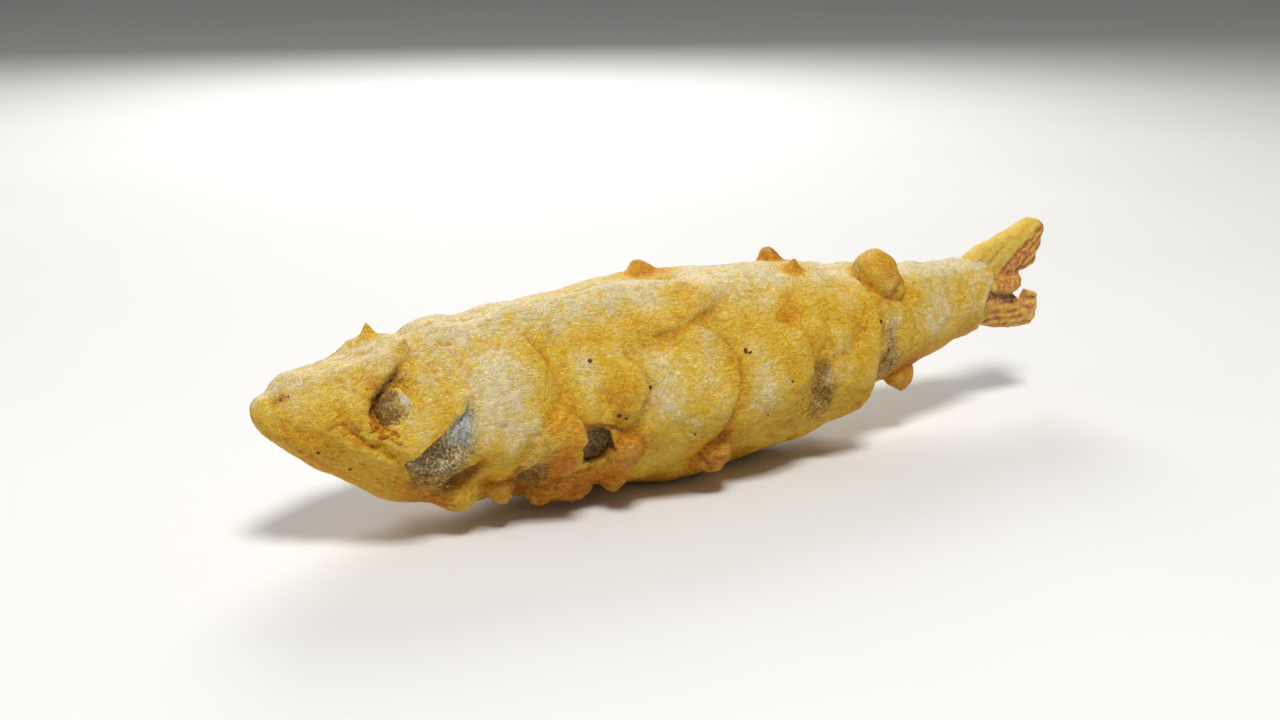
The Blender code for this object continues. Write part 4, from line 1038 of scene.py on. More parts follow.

# lines of the same kinds, and burnt ones, mostly along the folds, their brown partly painted shade: points,
# half breadth, strength
lineStains = {
    # painted shade along folds and creases
    "goldAndShade": mirrored([
        ([(-38.8, 69), (-38.6, 82), (-37.7, 92), (-36.2, 98), (-34.4, 105)], 0.9, 0.7),
    ]) + [
        ([(-15.8, 34), (-12.9, 42), (-9.8, 48), (-7.2, 44), (-4.6, 36), (-2.6, 33)], 1.5, 0.9),
        ([(-28, -9), (-22, -9), (-14, -10), (-7, -12)], 1, 0.7),
        ([(-1.5, 60), (-1.4, 74), (-1.9, 88), (-3.2, 104)], 1, 0.8),
        ([(6.4, 58), (7.4, 70), (8.6, 60)], 0.8, 0.7), ([(7, 72), (7.4, 86), (7.6, 100)], 0.8, 0.7),
        ([(17.3, 20), (17.6, 48), (17.4, 80), (17.2, 110)], 0.9, 0.5),
        ([(-19.6, 34), (-19, 47), (-18.4, 58), (-18.6, 72)], 0.8, 0.4),
        ([(-12.4, 62), (-11.6, 72), (-12, 86)], 0.8, 0.5),
        ([(-42.8, 97), (-40.6, 109), (-38, 117), (-35.4, 122)], 0.9, 0.5),
        ([(-14.8, -34), (-11.9, -42), (-8.8, -50), (-5.2, -46), (-2.6, -36)], 1.5, 0.8),
        ([(0.6, -66), (1, -86), (0.6, -104), (-0.9, -122)], 1, 0.8),
        ([(-12, -66), (-11.6, -86), (-12.4, -106)], 1, 0.7),
        ([(10, -60), (10.6, -80), (9.8, -104)], 0.9, 0.7),
    ],
    "crusty": mirrored([
        ([(-29, 66), (-30.1, 78), (-32, 90), (-34.6, 106), (-36.4, 114)], 0.45, 0.5),
        ([(-44.5, 120), (-42.6, 131), (-40.2, 141), (-37.7, 148), (-32.9, 142)], 0.9, 0.6),
        ([(-38.4, 84), (-37.7, 92), (-36.2, 98), (-34.6, 104)], 0.35, 0.5),
    ]) + [
        ([(-4.3, 43), (-6.7, 49), (-9.6, 52)], 0.7, 0.4),
        ([(-2.2, 96), (-3.2, 108), (-3.6, 118)], 0.6, 0.7), ([(6.6, 92), (6.6, 106), (5.6, 125)], 0.5, 0.4),
        ([(9.6, 74), (8.4, 83), (7.6, 93)], 0.4, 0.6), ([(4.5, 49), (4.9, 54), (5, 60)], 0.5, 0.75),
        ([(-20, 82), (-18.8, 92), (-16.8, 95), (-14.6, 98), (-13, 104)], 0.5, 0.8),
        ([(17.2, 14), (17.6, 30), (19.6, 44), (22.4, 43), (23.2, 30)], 0.4, 0.6),
        ([(-28, -3), (-25.6, -4), (-22, -3), (-12, -4), (-6, -5)], 0.8, 0.75),
        ([(-4.6, -46), (-8.3, -52), (-11.4, -54)], 0.7, 0.5),
        ([(0.4, -88), (0.2, -104), (-1.6, -122)], 0.5, 0.6),
        ([(-12.9, -74), (-12.5, -90), (-13.6, -106)], 0.5, 0.6),
        ([(9.6, -80), (9.5, -96), (7.6, -112)], 0.45, 0.5),
        ([(-27.2, 106), (-28.6, 118), (-30.4, 134)], 1.4, 0.7),
        ([(-27.4, -104), (-28.8, -118), (-30.4, -134)], 1.4, 0.7),
    ],
    # partly burnt batter, partly painted shade in the folds, grooves and the collar's recess
    "burnt": mirrored([
        ([(-43.4, 42), (-42.8, 44), (-42.4, 42)], 0.2, 0.8),
        ([(-32.9, 34), (-34.3, 45), (-35.5, 53), (-36.2, 61), (-36.5, 70), (-36.2, 81)], 0.4, 1.1),
        ([(-32.5, 39), (-33.8, 47), (-34.9, 53)], 0.3, 0.7),
        ([(-36.9, 76), (-36, 86), (-34.4, 90)], 0.35, 0.6),
        ([(-28.9, 70), (-30.3, 80), (-32, 91), (-34, 103)], 0.16, 0.9),
        ([(-33.4, 146), (-31.6, 141), (-30, 134)], 0.8, 0.7),
    ]) + [
        ([(-38.8, 80), (-37.9, 90), (-36.5, 97), (-34.7, 105)], 0.2, 0.6),
        ([(35.2, 62), (34.4, 78), (33.8, 96)], 0.45, 0.8),
        ([(-18.6, 97), (-16.5, 95), (-14.6, 98), (-13.4, 103)], 0.35, 0.9),
        ([(-18.3, 120), (-16.4, 122), (-14.4, 117)], 0.3, 0.6),
        ([(-27.2, 106), (-28.4, 116), (-29.8, 127), (-31.4, 140)], 0.8, 0.95),
        ([(-6.2, 118), (-4.8, 124), (-4.2, 132)], 0.25, 0.8),
        ([(-2.2, 118), (-1.8, 128), (-2.4, 138)], 0.3, 0.7),
        ([(-24.2, 112), (-23.4, 122), (-23, 134)], 0.8, 0.8),
        ([(-22.6, 124), (-21.4, 132), (-20.8, 142)], 0.5, 0.7),
        ([(-19, 128), (-17, 126), (-15.4, 121)], 0.4, 0.7),
        ([(-20.6, 138), (-18.6, 142), (-16, 140)], 0.3, 0.6), ([(23.2, 139), (23.6, 144)], 0.3, 0.7),
        ([(-27.4, -104), (-28.6, -116), (-29.8, -127), (-31, -140)], 0.8, 0.9),
        ([(-13.8, -124), (-12, -127), (-10.6, -122)], 0.3, 0.6), ([(-0.6, -128), (-1, -138)], 0.3, 0.7),
    ],
    # flour in streaks; the first two lines, along the crests of the snout and back rims, are painted
    # highlights
    "flourAndSheen": [
        ([(-42, 6), (-39, 7), (-36.2, 9), (-34.2, 13), (-33.2, 20)], 0.3, 1.5),
        ([(-30.5, 20), (-28.6, 17), (-25.8, 16), (-22, 14), (-17, 13)], 0.35, 1.6),
        ([(24.2, -24), (24.6, 12), (25.4, 40)], 0.4, 2.2),
        ([(27.4, -30), (27.8, 6), (28.6, 44)], 0.35, 2.2), ([(30.6, -30), (31, 6), (31.6, 46)], 0.35, 2.2),
        ([(33.4, -30), (33.6, 6), (34.2, 50)], 0.3, 2.2),
        ([(25.6, 36), (26.6, 56), (27.4, 76), (28, 98)], 0.45, 1),
        ([(22.6, 60), (23.2, 76), (23.4, 92)], 0.3, 0.7), ([(30.6, 44), (31.2, 62), (31.6, 80)], 0.35, 0.7),
        ([(-23, 72), (-22.6, 88), (-23.2, 104)], 0.5, 0.9),
        ([(-28.6, 44), (-27.6, 60), (-27, 76)], 0.5, 0.9),
        ([(-20.4, 92), (-21.6, 104), (-22.6, 116)], 0.35, 0.7),
        ([(26, -36), (26.8, -58), (27.2, -80)], 0.45, 1),
        ([(30.4, -48), (31, -66), (31.6, -84)], 0.35, 0.7),
        ([(-28.4, -44), (-27.4, -60), (-27, -76)], 0.5, 0.9),
        ([(-23.2, -72), (-22.8, -88), (-23.4, -104)], 0.5, 0.8),
    ],
}

# burst bubbles in the batter: x, angle, size
pores = [
    (-0.9, 66, 0.26), (-0.5, 67.5, 0.16), (-11.4, 77, 0.22), (-14.6, 90, 0.24), (-14, 92, 0.14),
    (3.8, 87, 0.18), (-16.6, 57, 0.2), (17.4, 70, 0.18), (18.6, 97, 0.2), (18.2, 105, 0.22),
    (18, 108, 0.14), (19.4, 114, 0.18), (-7.2, 104, 0.12), (-40.6, 122, 0.16), (-38, 132, 0.14),
    (-43, 46, 0.12), (-42.4, 44, 0.1), (1.2, 103, 0.1), (30.6, 70, 0.08), (-20.2, -58, 0.2),
    (-8.6, -74, 0.22), (-9, -76, 0.12), (2.4, -84, 0.18), (12, -62, 0.16), (6.2, -98, 0.14),
    (-26.8, -74, 0.14), (20.4, -78, 0.14), (-16.4, -104, 0.16), (-3.2, -112, 0.14), (27.2, -60, 0.1),
    (-40.8, -118, 0.16), (-38.4, -84, 0.1), (-42.8, -46, 0.12), (16.8, -58, 0.1), (-12.6, 168, 0.14),
    (4.4, -164, 0.14),
]

eyeStains = {
    # the cooked eye's cloudy white, with a painted highlight at its upper right
    "cloudAndHighlight": [
        (-33.5, 60, 0.6, 0.7, 1), (-33.1, 66, 0.5, 0.8, 0.7), (-34.9, 63, 0.4, 0.45, 0.4),
    ],
    "shade": [
        (-34.9, 57, 1, 0.6, 1, -30), (-35.6, 67, 0.6, 1.5, 1), (-34.4, 77, 1.3, 0.7, 1, 10),
        (-34.9, 72, 0.7, 0.8, 0.9),
    ],
    "battered": [
        (-32.4, 64, 0.9, 2.6, 1.3), (-33.2, 79, 1.5, 0.9, 1.2), (-33.4, 50, 1.4, 0.7, 0.8),
    ],
}

colours = {  # as seen on a screen, 0 to 255
    "cream": (232, 218, 176), "straw": (231, 196, 86), "yellow": (229, 187, 32), "gold": (217, 157, 8),
    "orange": (209, 114, 0), "rust": (168, 76, 4), "brown": (96, 46, 8), "char": (36, 26, 16),
    "umber": (112, 78, 32), "ash": (144, 120, 58), "soot": (54, 44, 24), "silver": (168, 172, 164),
    "slate": (92, 98, 96),
}


def colourOf(name):
    def linear(c):
        c /= 255.0
        return c / 12.92 if c <= 0.04045 else ((c + 0.055) / 1.055) ** 2.4

    return tuple(linear(c) for c in colours[name]) + (1.0,)


class paintBoard(nodeBoard):
    # short ways to build a material
    def __init__(self, name):
        self.material = bpy.data.materials.new(name)
        self.material.use_nodes = True
        super().__init__(self.material.node_tree)
        self.tree.nodes.clear()
        self.coords = self.add("ShaderNodeTexCoord").outputs["Object"]

    def field(self, name):
        return self.add("ShaderNodeAttribute", attribute_name=name).outputs["Fac"]

    def noise(self, size, detail=2.0, distortion=0.0, roughness=0.5, along=1.0):
        # sizes are in millimetres, and a pattern with along under 1 runs lengthways
        coords = self.coords
        if along != 1.0:
            coords = self.add("ShaderNodeMapping", {"Vector": coords, "Scale": (along, 1.0, 1.0)}).outputs[0]
        return self.add("ShaderNodeTexNoise", {"Vector": coords, "Scale": 1.0 / (size * mm), "Detail": detail,
                        "Distortion": distortion, "Roughness": roughness}).outputs[0]

    def spread(self, value, low, high):
        return self.add("ShaderNodeMapRange", {"Value": value, "From Min": low, "From Max": high},
                        interpolation_type="SMOOTHSTEP").outputs[0]

    def ramp(self, value, stops):
        node = self.add("ShaderNodeValToRGB", {"Fac": value})
        for k, (place, colour) in enumerate(stops):
            stop = node.color_ramp.elements[k] if k < 2 else node.color_ramp.elements.new(place)
            stop.position, stop.color = place, colourOf(colour)
        return node.outputs[0]

    def mix(self, share, a, b):
        node = self.add("ShaderNodeMix", {0: share}, data_type="RGBA", blend_type="MIX")
        for socket, value in ((node.inputs[6], a), (node.inputs[7], b)):
            if isinstance(value, bpy.types.NodeSocket):
                self.tree.links.new(value, socket)
            else:
                socket.default_value = colourOf(value)
        return node.outputs[2]

    def finish(self, colour, roughness, height, distance, fixed):
        bump = self.add("ShaderNodeBump", {"Height": height, "Distance": distance * mm, "Strength": 1.0})
        shader = self.add("ShaderNodeBsdfPrincipled", {"Base Color": colour, "Roughness": roughness,
                          "Normal": bump.outputs[0]} | fixed)
        self.add("ShaderNodeOutputMaterial", {"Surface": shader.outputs[0]})
        return self.material


batterLook = {
    # sizes of the patterns in millimetres
    "patchSize": 6.0, "blotchSize": 1.8, "mottleSize": 0.75, "fibreSize": 0.5, "speckSize": 0.19,
    # how far each thing moves the tone, from orange at 0 to cream at 1
    "tone": 0.55, "patches": 0.9, "blotches": 0.75, "mottle": 1.0, "specks": 1.3,
    # flourAndSheenTone also lifts the painted sheen, gold also sets the painted shade, and fold paints light
    # and shade on large swells and hollows
    "flourAndSheenTone": 0.44, "gold": -0.28, "crust": -0.16, "fold": 0.08,
    "bumpDepth": 0.24, "roughLow": 0.42, "roughHigh": 0.7,
    "fixed": {"Specular IOR Level": 0.22, "Sheen Weight": 0.0,
              "Subsurface Weight": 0.06, "Subsurface Scale": 0.001},
}


def speckledSkin(board):
    # dark fish skin dusted with pale flour, the same under the batter and where it is bare
    grain = board.plus(board.noise(0.23, 2.0, 0.8), board.centred(board.noise(1.5, 2.0), 0.5))
    dark = board.ramp(grain, [(0.28, "soot"), (0.72, "cream"), (0.39, "umber"), (0.52, "ash")])
    bright = board.ramp(grain, [(0.26, "slate"), (0.74, "cream"), (0.5, "silver")])
    # silver lightens the skin: its own silvery grey, with a painted sheen at the top of the bare patches
    return board.mix(board.spread(board.field("silver"), 0.15, 0.75), dark, bright), grain


def batterMaterial(name):
    look, board = batterLook, paintBoard(name)
    times, plus, minus, centred, mix = board.times, board.plus, board.minus, board.centred, board.mix
    crusty, flourAndSheen, goldAndShade, dark, burnt, crest, fold, depth = (board.field(word) for word in (
        "crusty", "flourAndSheen", "goldAndShade", "dark", "burnt", "crest", "fold", "depth"))
    streaks = board.spread(board.noise(1.7, 3.0, 1.0, 0.6, 1.6), 0.3, 0.6)
    flourAndSheen = times(flourAndSheen, plus(0.4, times(streaks, 0.6)))
    patches = board.noise(look["patchSize"], 3.0, 0.4)
    blotches = board.noise(look["blotchSize"], 3.0, 0.8, 0.6)
    mottle = board.noise(look["mottleSize"], 3.0, 1.2, 0.6, 0.7)
    fibre = minus(1.0, board.off(board.noise(look["fibreSize"], 2.0, 1.8, 0.6, 0.55), 0.5, 8.0), True)
    strand = minus(1.0, board.off(board.noise(look["fibreSize"] * 0.8, 2.0, 1.4, 0.6, 0.6), 0.52, 9.0), True)
    speck = board.noise(look["speckSize"], 2.0, 0.8, 0.6, 0.6)

    # the fold term paints light on the large swells and shade in the large hollows
    tone = plus(look["tone"], centred(patches, look["patches"]), centred(blotches, look["blotches"]),
                centred(mottle, look["mottle"]), centred(speck, look["specks"]), times(flourAndSheen, look["flourAndSheenTone"]),
                times(goldAndShade, look["gold"]), times(crusty, look["crust"]), times(fold, look["fold"]))
    base = board.ramp(tone, [(0.0, "orange"), (1.0, "cream"), (0.25, "gold"), (0.5, "yellow"),
                             (0.75, "straw")])
    crustShare = board.spread(plus(crusty, centred(blotches, 0.9)), 0.3, 0.8)
    crustTone = plus(0.52, centred(blotches, 1.2), centred(speck, 0.9), centred(mottle, 0.9))
    crust = board.ramp(crustTone, [(0.02, "brown"), (0.98, "gold"), (0.3, "rust"), (0.58, "orange")])
    colour = mix(times(crustShare, 0.85), base, crust)
    skin, grain = speckledSkin(board)
    colour = mix(board.spread(plus(times(dark, 1.25), centred(grain, -1.2)), 0.15, 0.95), colour, skin)
    # painted shade: walls sunk below the coat's surface, in its openings and eye sockets, are drawn brown
    inside = board.spread(depth, 0.5, 1.3)
    colour = mix(times(inside, 0.85), colour, board.ramp(speck, [(0.35, "brown"), (0.65, "rust")]))
    # painted shade: creases are drawn orange
    creased = board.spread(plus(times(crest, -1.0), times(fold, -0.3)), 0.5, 2.4)
    colour = mix(times(creased, 0.5), colour, "orange")
    # the burnt field brings burnt brown, and the painted shade of the rims' folds
    burntShare = board.spread(plus(burnt, centred(speck, 0.9)), 0.3, 0.8)
    colour = mix(times(burntShare, 0.85), colour, "brown")
    # painted highlight: crests are drawn straw, and cream where floury
    crested = board.spread(crest, 0.5, 1.7)
    colour = mix(times(crested, 0.3), colour, "straw")
    colour = mix(times(crested, times(flourAndSheen, 0.4)), colour, "cream")
    colour = mix(times(strand, minus(0.24, times(flourAndSheen, 0.14))), colour, "orange")
    colour = mix(times(fibre, minus(0.32, times(crusty, 0.16))), colour, "straw")
    colour = mix(times(fibre, times(flourAndSheen, 0.5)), colour, "cream")

    rough = plus(look["roughLow"], times(blotches, look["roughHigh"] - look["roughLow"]))
    height = plus(times(fibre, 0.3), times(strand, -0.15), times(blotches, 0.4), times(mottle, 0.5),
                  times(speck, 0.25))
    return board.finish(colour, rough, height, look["bumpDepth"], look["fixed"])


fishLook = {
    "bumpDepth": 0.08,
    "fixed": {"Specular IOR Level": 0.4, "Coat Weight": 0.1, "Coat Roughness": 0.3},
}


def fishMaterial(name):
    board = paintBoard(name)
    skin, grain = speckledSkin(board)
    shadedSkin = board.ramp(grain, [(0.36, "char"), (0.64, "ash"), (0.5, "umber")])
    # painted shade: the skin inside the holes is drawn near black
    skin = board.mix(board.field("holeShade"), skin, shadedSkin)
    fine = board.noise(0.32, 3.0, 0.8, 0.6)
    rough = board.plus(0.35, board.times(fine, 0.4))
    return board.finish(skin, rough, board.plus(grain, fine), fishLook["bumpDepth"], fishLook["fixed"])


def finMaterial(name):
    board = paintBoard(name)
    times, plus, centred = board.times, board.plus, board.centred
    brown, rows, crest = (board.field(word) for word in ("crusty", "rows", "crest"))
    blotches = board.noise(1.3, 4.0, 0.8, 0.6)
    speck = board.noise(0.28, 3.0, 1.0, 0.6)
    fibre = board.minus(1.0, board.off(board.noise(0.4, 2.0, 1.6, 0.6, 0.7), 0.5, 11.0), True)
    tone = plus(times(blotches, 0.9), times(speck, 0.35))
    base = board.ramp(tone, [(0.32, "orange"), (0.8, "straw"), (0.46, "gold"), (0.6, "yellow")])
    burnt = plus(0.5, centred(speck, 1.8), times(rows, 0.42))
    crust = board.ramp(burnt, [(0.05, "brown"), (0.95, "gold"), (0.3, "rust"), (0.58, "orange")])
    browned = board.spread(plus(brown, centred(speck, 0.8), times(rows, -0.2)), 0.2, 0.8)
    colour = board.mix(browned, base, crust)
    # painted shade in the fin's creases and painted highlight on its crests
    colour = board.mix(times(board.spread(times(crest, -1.0), 0.4, 1.6), 0.7), colour, "rust")
    colour = board.mix(times(board.spread(crest, 0.4, 1.5), 0.5), colour, "straw")
    colour = board.mix(times(fibre, 0.35), colour, "cream")
    rough = plus(0.4, times(speck, 0.35))
    return board.finish(colour, rough, plus(speck, times(fibre, 0.3)), 0.12, batterLook["fixed"])


def eyeMaterial(name):
    board = paintBoard(name)
    times, plus, centred = board.times, board.plus, board.centred
    coarse = board.noise(0.8, 3.0, 0.8)
    fine = board.noise(0.2, 2.0, 0.8, 0.6)
    tone = plus(coarse, centred(fine, 0.8))
    colour = board.ramp(tone, [(0.25, "umber"), (0.85, "straw"), (0.5, "ash")])
    shaded = board.ramp(fine, [(0.3, "brown"), (0.82, "gold"), (0.52, "umber")])
    cloudAndHighlightLayer = board.ramp(fine, [(0.3, "silver"), (0.7, "cream")])
    covered = board.ramp(tone, [(0.3, "gold"), (0.8, "cream"), (0.5, "yellow")])
    # painted shade, the cloudy white with its painted highlight, and batter over the eye's edge
    for field, source, gain, low, high, share, layer in (
            ("shade", coarse, 1.2, 0.25, 0.9, 0.85, shaded), ("cloudAndHighlight", coarse, 0.8, 0.15, 1.0, 0.8, cloudAndHighlightLayer),
            ("battered", fine, 1.6, 0.2, 0.9, 1.0, covered)):
        amount = board.spread(plus(board.field(field), centred(source, gain)), low, high)
        colour = board.mix(times(amount, share), colour, layer)
    rough = plus(0.4, times(fine, 0.3))
    return board.finish(colour, rough, plus(coarse, fine), 0.12,
                        {"Specular IOR Level": 0.25, "Coat Weight": 0.06, "Coat Roughness": 0.25})


# dark specks for burst bubbles: painted shade in each pit, with the batter's burnt brown
def speckMaterial(name):
    board = paintBoard(name)
    tone = board.plus(board.noise(0.1, 2.0), board.centred(board.noise(5.0, 1.0), 1.6))
    return board.finish(board.ramp(tone, [(0.1, "char"), (0.8, "umber"), (0.35, "brown")]),
                        board.plus(0.5, board.times(tone, 0.3)), tone, 0.02, {"Specular IOR Level": 0.4})


def lineStainField(x, angle, lines):
    field = np.zeros(len(x))
    for points, halfBreadth, strength in lines:
        distance, _, share, _, _ = lineField(x, angle, points)
        fade = np.sin(np.pi * np.clip(share, 0.03, 0.97)) ** 0.4
        field = np.maximum(field, strength * fade * np.exp(-((distance / halfBreadth) ** 2)))
    return field


def spotsAndLines(x, angle, name):
    return np.maximum(stainField(x, angle, stains[name]), lineStainField(x, angle, lineStains[name]))


def wrinkledField(x, angle):
    return stainField(x, angle, stains["wrinkled"]) - stainField(x, angle, stains["smooth"])


def flourAndSheenField(x, angle):
    # flour lies in patches and streaks, and a painted sheen lies all over the back
    top = np.interp(x, *np.array(coat["topSheen"]).T)
    top = top * np.exp(-((np.abs(wrap(angle)) / coat["topSheenBreadth"]) ** 4))
    top = top * (1.0 - np.clip(1.3 * stainField(x, angle, stains["goldAndShade"]), 0.0, 1.0))
    return np.maximum(spotsAndLines(x, angle, "flourAndSheen"), top)


def goldAndShadeField(x, angle):
    # gold on the knobs and beads, and painted shade in the folds and all over the belly
    low = np.clip((np.abs(wrap(angle)) - coat["bellyShadeFrom"]) / coat["bellyShadeOver"], 0.0, 1.0)
    return np.maximum(spotsAndLines(x, angle, "goldAndShade"), coat["bellyShade"] * low)


def paintCoat(mesh):
    points = getPoints(mesh)
    x, angle, out = bodyPlace(points)
    relief = bodyRelief(x, angle)
    for name in ("dark", "silver"):
        setField(mesh, name, stainField(x, angle, stains[name]))
    setField(mesh, "crusty", spotsAndLines(x, angle, "crusty"))
    setField(mesh, "flourAndSheen", flourAndSheenField(x, angle))
    setField(mesh, "goldAndShade", goldAndShadeField(x, angle))
    # painted highlight on the rim crests, painted shade in the folds before them
    crestHighlight, brown = rimHighlightAndShade(x, angle)
    burnt = lineStainField(x, angle, lineStains["burnt"])
    # the burnt field also carries the painted shade in the rims' folds
    setField(mesh, "burnt", np.maximum(burnt, coat["rimShadeBrown"] * brown))
    # crests drawn lighter and creases darker: painted highlight and shade, on small folds and on large swells
    # and hollows
    crest = crestField(mesh, 6) / coat["crestHeight"]
    setField(mesh, "crest", crest + coat["rimHighlight"] * crestHighlight - coat["rimShade"] * brown)
    setField(mesh, "fold", np.clip(crestField(mesh, 40) / coat["foldHeight"], -1.5, 1.5))
    # how far each point lies below the coat's surface, for the painted shade on sunk walls
    setField(mesh, "depth", np.clip(relief - out, 0.0, 3.0))


def cutSockets(obj):
    for side in (1, -1):
        cutAway(obj, eyeBall("socket", side, eye["gap"], 4))


def pushOutCrust(body, material):
    # wrinkles and grain all over the coat, then fewer faces
    x, angle, _ = bodyPlace(getPoints(body.data))
    setField(body.data, "wrinkled", wrinkledField(x, angle))
    runTree(body, reliefTree(), {
        "Wrinkle height": coat["wrinkleHeight"] * mm, "Wrinkle size": coat["wrinkleSize"] * mm,
        "Grain height": coat["grainHeight"] * mm, "Grain size": coat["grainSize"] * mm,
        "Wrinkle gain": coat["wrinkleGain"], "Seed": 3.0, "Material": material})
    thin = body.modifiers.new("thin", "DECIMATE")
    thin.ratio = coat["shareKept"]
    bakeModifiers(body)
    print("batter relief made:", len(body.data.polygons), "faces")


def cutCoat(body, core, fin):
    # room for the fish, its tail and its eyes, and the openings that show its skin
    cutAway(body, core.data.copy())
    cutAway(body, fin.data.copy())
    for name, corners in coat["openings"].items():
        cutAway(body, openingMesh(name, corners))
    cutSockets(body)
    body.data.attributes.remove(body.data.attributes["wrinkled"])
    print("coat cut:", len(body.data.polygons), "faces")


def dressFish(core):
    x, angle, _ = bodyPlace(getPoints(core.data))
    for name in ("silver", "holeShade"):
        setField(core.data, name, stainField(x, angle, stains[name]))
    dress(core, fishMaterial("cookedSkin"), "fish")


def dressFin(fin):
    brown, rows = finFields(getPoints(fin.data))
    setField(fin.data, "crusty", brown)
    setField(fin.data, "rows", rows)
    # crest values for the painted highlight and shade on the fin
    setField(fin.data, "crest", crestField(fin.data, 6) / coat["crestHeight"])
    dress(fin, finMaterial("friedFin"), "fish")


def buildEyes():
    cooked = eyeMaterial("cookedEye")
    for side, name, node in ((1, "eyeLeft", "eye_left"), (-1, "eyeRight", "eye_right")):
        ball = newObject(name, eyeBall(name, side, 0.0, 6))
        x, angle, _ = bodyPlace(getPoints(ball.data))
        for field, spots in eyeStains.items():
            setField(ball.data, field, stainField(x, side * angle, spots))
        dress(ball, cooked, node)


def assemble():
    core = newObject("cookedFish", loftMesh("core", coreRings(coat["coreAlong"], coat["coreAround"])))
    cutSockets(core)
    fin = buildFin()
    print("fish and tail built")
    batter = batterMaterial("friedBatter")
    body = buildCoat()
    pushOutCrust(body, batter)
    cutCoat(body, core, fin)
    paintCoat(body.data)
    dress(body, batter, "batter_coat")
    corners = [v.co for v in body.data.vertices]
    surface = BVHTree.FromPolygons(corners, [p.vertices for p in body.data.polygons])
    buildCurls(surface, batter)
    buildPores(surface)
    buildCrumbs(body.data, batter)
    dressFish(core)
    dressFin(fin)
    buildEyes()


def nubMesh(x, y, z, halfX, halfY, halfZ):
    middle = Vector((x, y, z))

    def shaper(p):
        wobble = 1.0 + tail["nubUneven"] * noise.noise(p * 1.5 + middle)
        return middle + Vector((p.x * halfX, p.y * halfY, p.z * halfZ)) * wobble

    return ballMesh("nub", 4, shaper)


def buildFin():
    lobesOfTail = [fanMesh("upperLobe", tail["upper"], tail["upperThick"]),
                   fanMesh("lowerLobe", tail["lower"], tail["lowerThick"])]
    for nub in tail["nubs"]:
        lobesOfTail.append(nubMesh(*nub))
    fin = newObject("tailFin", joinMeshes("tailFin", lobesOfTail))
    meltTogether(fin, tail["voxel"], 3)
    shapeFin(fin.data)
    return fin


def surfacePoint(tree, x, angle):
    # the point of the finished coat under a place on the plain body, and the way out of it
    far, normal = pointAndNormal(x, angle, 6.0)
    hit, face, _, _ = tree.ray_cast(far * mm, -normal)
    return (hit / mm, face) if hit is not None else (None, None)


def tubeMesh(name, points, normals, radius, uneven):
    # a little rope of batter along a line of points, thin at both ends
    rings = []
    count = len(points)
    for k, (point, normal) in enumerate(zip(points, normals)):
        ahead = (points[min(k + 1, count - 1)] - points[max(k - 1, 0)]).normalized()
        side = ahead.cross(normal).normalized()
        thick = radius * (0.35 + 0.65 * math.sin(math.pi * (k + 0.5) / count) ** 0.5)
        thick *= 1.0 + uneven * noise.noise(point * 2.2)
        rings.append([point + (side * math.cos(t) + normal * math.sin(t)) * thick
                      for t in np.linspace(0, 2 * math.pi, 10, endpoint=False)])
    return loftMesh(name, rings)


def buildCurls(tree, material):
    meshes = []
    perMm = math.degrees(1.0 / float(meanRadius(eye["x"])))
    for side in (1, -1):
        for curl in eye["curls"]:
            curl = smoothOutline(np.array(curl), 6)[:-6]
            along, normals = [], []
            for u, v in curl:
                point, normal = surfacePoint(tree, eye["x"] + u, side * (eye["angle"] + v * perMm))
                along.append(point - normal * eye["curlSunk"])
                normals.append(normal)
            meshes.append(tubeMesh("curl", along, normals, eye["curlRadius"], eye["curlUneven"]))
    curls = newObject("eyeCurls", joinMeshes("eyeCurls", meshes))
    mesh = curls.data
    # which way each point faces against the coat under it: tops get a painted highlight, undersides painted
    # shade in burnt brown
    upward = np.array([tree.find_nearest(Vector(p) * mm)[1] for p in getPoints(mesh)])
    rise = np.einsum("ij,ij->i", getNormals(mesh), upward)
    setField(mesh, "crest", rise * 1.2 - 0.2)
    setField(mesh, "goldAndShade", np.full(len(rise), 1.0))
    setField(mesh, "crusty", np.full(len(rise), 0.9))
    setField(mesh, "burnt", np.clip(0.95 - rise, 0.15, 0.8))
    dress(curls, material, "batter_coat", 80)


def scatterPiece(name, places, sizes, outward, values, material, fields):
    mesh = bpy.data.meshes.new(name)
    mesh.from_pydata([Vector(p) * mm for p in places], [], [])
    setField(mesh, "size", sizes)
    ways = mesh.attributes.new("outward", "FLOAT_VECTOR", "POINT")
    ways.data.foreach_set("vector", np.asarray(outward, dtype=np.float32).ravel())
    for field, amounts in fields.items():
        setField(mesh, field, amounts)
    piece = newObject(name, mesh)
    runTree(piece, scatterTree(), values | {"Material": material})
    dress(piece, material, "batter_coat", 80)


def buildPores(tree):
    places, outward, sizes = [], [], []
    for x, angle, size in pores:
        point, normal = surfacePoint(tree, x, angle)
        places.append(point + normal * size * 0.1)
        outward.append(normal)
        sizes.append(size)
    # dark specks: painted shade in each bubble's pit, with burnt brown
    scatterPiece("burstBubbles", places, sizes, outward,
                 {"Size": mm, "Uneven": 0.35, "Flatness": 0.4, "Seed": 5}, speckMaterial("burntSpeck"), {})


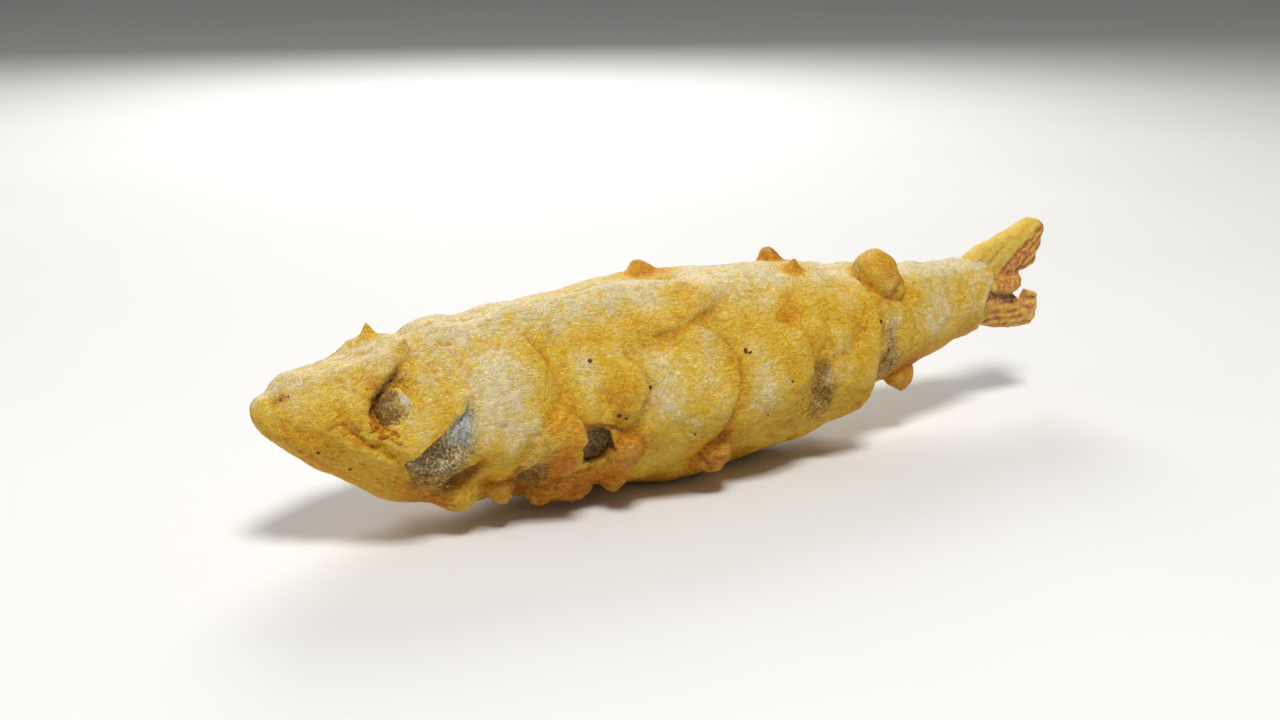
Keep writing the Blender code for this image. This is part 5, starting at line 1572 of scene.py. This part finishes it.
def buildCrumbs(coatMesh, material):
    # fried crumbs where the batter is crusty
    crumb = coat["crumbs"]
    random = np.random.default_rng(crumb["seed"])
    points, normals = getPoints(coatMesh), getNormals(coatMesh)
    x, angle, out = bodyPlace(points)
    crusty = spotsAndLines(x, angle, "crusty")
    # none lies deep in the coat or under the belly
    outside = (bodyRelief(x, angle) - out < 0.3) & (points[:, 2] > 0.8)
    chance = np.clip(crusty - crumb["from"], 0.0, None) * outside
    chosen = random.choice(len(points), crumb["count"], replace=False, p=chance / chance.sum())
    sizes = random.uniform(0.5, 1.0, len(chosen)) ** 1.5 * crumb["size"]
    sunk = points[chosen] - normals[chosen] * sizes[:, None] * 0.35
    brown = crusty[chosen] * random.uniform(0.5, 1.1, len(chosen))
    crest = random.uniform(0.0, 0.8, len(chosen))
    scatterPiece("friedCrumbs", sunk, sizes, normals[chosen],
                 {"Size": mm, "Uneven": 0.45, "Flatness": 0.8, "Seed": 11}, material,
                 {"crusty": brown, "crest": crest})


def dress(obj, material, node, sharpFrom=60):
    # smooth shading up to the given angle in degrees, a material and a place in the part
    obj.data.polygons.foreach_set("use_smooth", [True] * len(obj.data.polygons))
    obj.data.set_sharp_from_angle(angle=math.radians(sharpFrom))
    obj.data.materials.clear()
    obj.data.materials.append(material)
    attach(obj, "root")
    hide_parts(node)
    print(obj.name, len(obj.data.polygons), "faces")


# floor, light and camera, in millimetres and degrees
stage = {
    "floorSize": 3000.0, "floorDark": (0.74, 0.73, 0.71, 1.0), "floorPale": (0.78, 0.775, 0.76, 1.0),
    "lookedAt": (0.0, 0.0, 8.0),
    "camera": (-80.9, -121.1, 54.1), "azimuth": 31.37, "drop": 16.61,
    "sensor": 36.0, "focalPixels": 1545.0, "photoWidth": 1280.0,
    "world": 0.17, "skyColour": (1.0, 0.985, 0.96, 1.0),
    "lamps": {  # place in millimetres, size in millimetres, power in watts
        "key": ((-60.0, -160.0, 370.0), 110.0, 1.35),
        "fill": ((-330.0, 60.0, 160.0), 300.0, 0.25),
        "rim": ((120.0, 300.0, 220.0), 240.0, 0.9),
    },
}


def floorMaterial(name):
    board = paintBoard(name)
    tone = board.noise(60.0, 3.0)
    soft = board.add("ShaderNodeMix", {0: tone, 6: stage["floorDark"], 7: stage["floorPale"]},
                     data_type="RGBA")
    return board.finish(soft.outputs[2], board.plus(0.7, board.times(tone, 0.2)), board.noise(2.0, 2.0), 0.02,
                        {"Specular IOR Level": 0.2})


def buildStage():
    side = stage["floorSize"] * mm / 2
    mesh = bpy.data.meshes.new("floor")
    corners = [(-side, -side, 0), (side, -side, 0), (side, side, 0), (-side, side, 0)]
    mesh.from_pydata(corners, [], [(0, 1, 2, 3)])
    floor = newObject("floor", mesh)
    mesh.materials.append(floorMaterial("paleFloor"))
    middle = Vector(stage["lookedAt"]) * mm
    for name, (place, size, power) in stage["lamps"].items():
        light = bpy.data.lights.new(name, "AREA")
        light.energy, light.size, light.shape = power, size * mm, "DISK"
        lamp = newObject(name, light)
        lamp.location = Vector(place) * mm
        lamp.rotation_euler = (middle - lamp.location).to_track_quat("-Z", "Y").to_euler()
    world = bpy.data.worlds.new("softRoom")
    world.use_nodes = True
    sky = world.node_tree.nodes["Background"]
    sky.inputs["Color"].default_value = stage["skyColour"]
    sky.inputs["Strength"].default_value = stage["world"]
    bpy.context.scene.world = world

    a, e = math.radians(stage["azimuth"]), math.radians(stage["drop"])
    back = Vector((-math.sin(a) * math.cos(e), -math.cos(a) * math.cos(e), math.sin(e)))
    right = Vector((math.cos(a), -math.sin(a), 0.0))
    camera = bpy.data.cameras.new("photoCamera")
    camera.sensor_width = stage["sensor"]
    camera.lens = stage["focalPixels"] / stage["photoWidth"] * stage["sensor"]
    camera.clip_start = 0.01
    rig = newObject("photoCamera", camera)
    rig.matrix_world = Matrix.Translation(Vector(stage["camera"]) * mm) @ Matrix(
        (right, back.cross(right), back)).transposed().to_4x4()
    bpy.context.scene.camera = rig
    bpy.context.scene.view_settings.view_transform = "Standard"
    print("floor, lamps and camera set")


assemble()
buildStage()
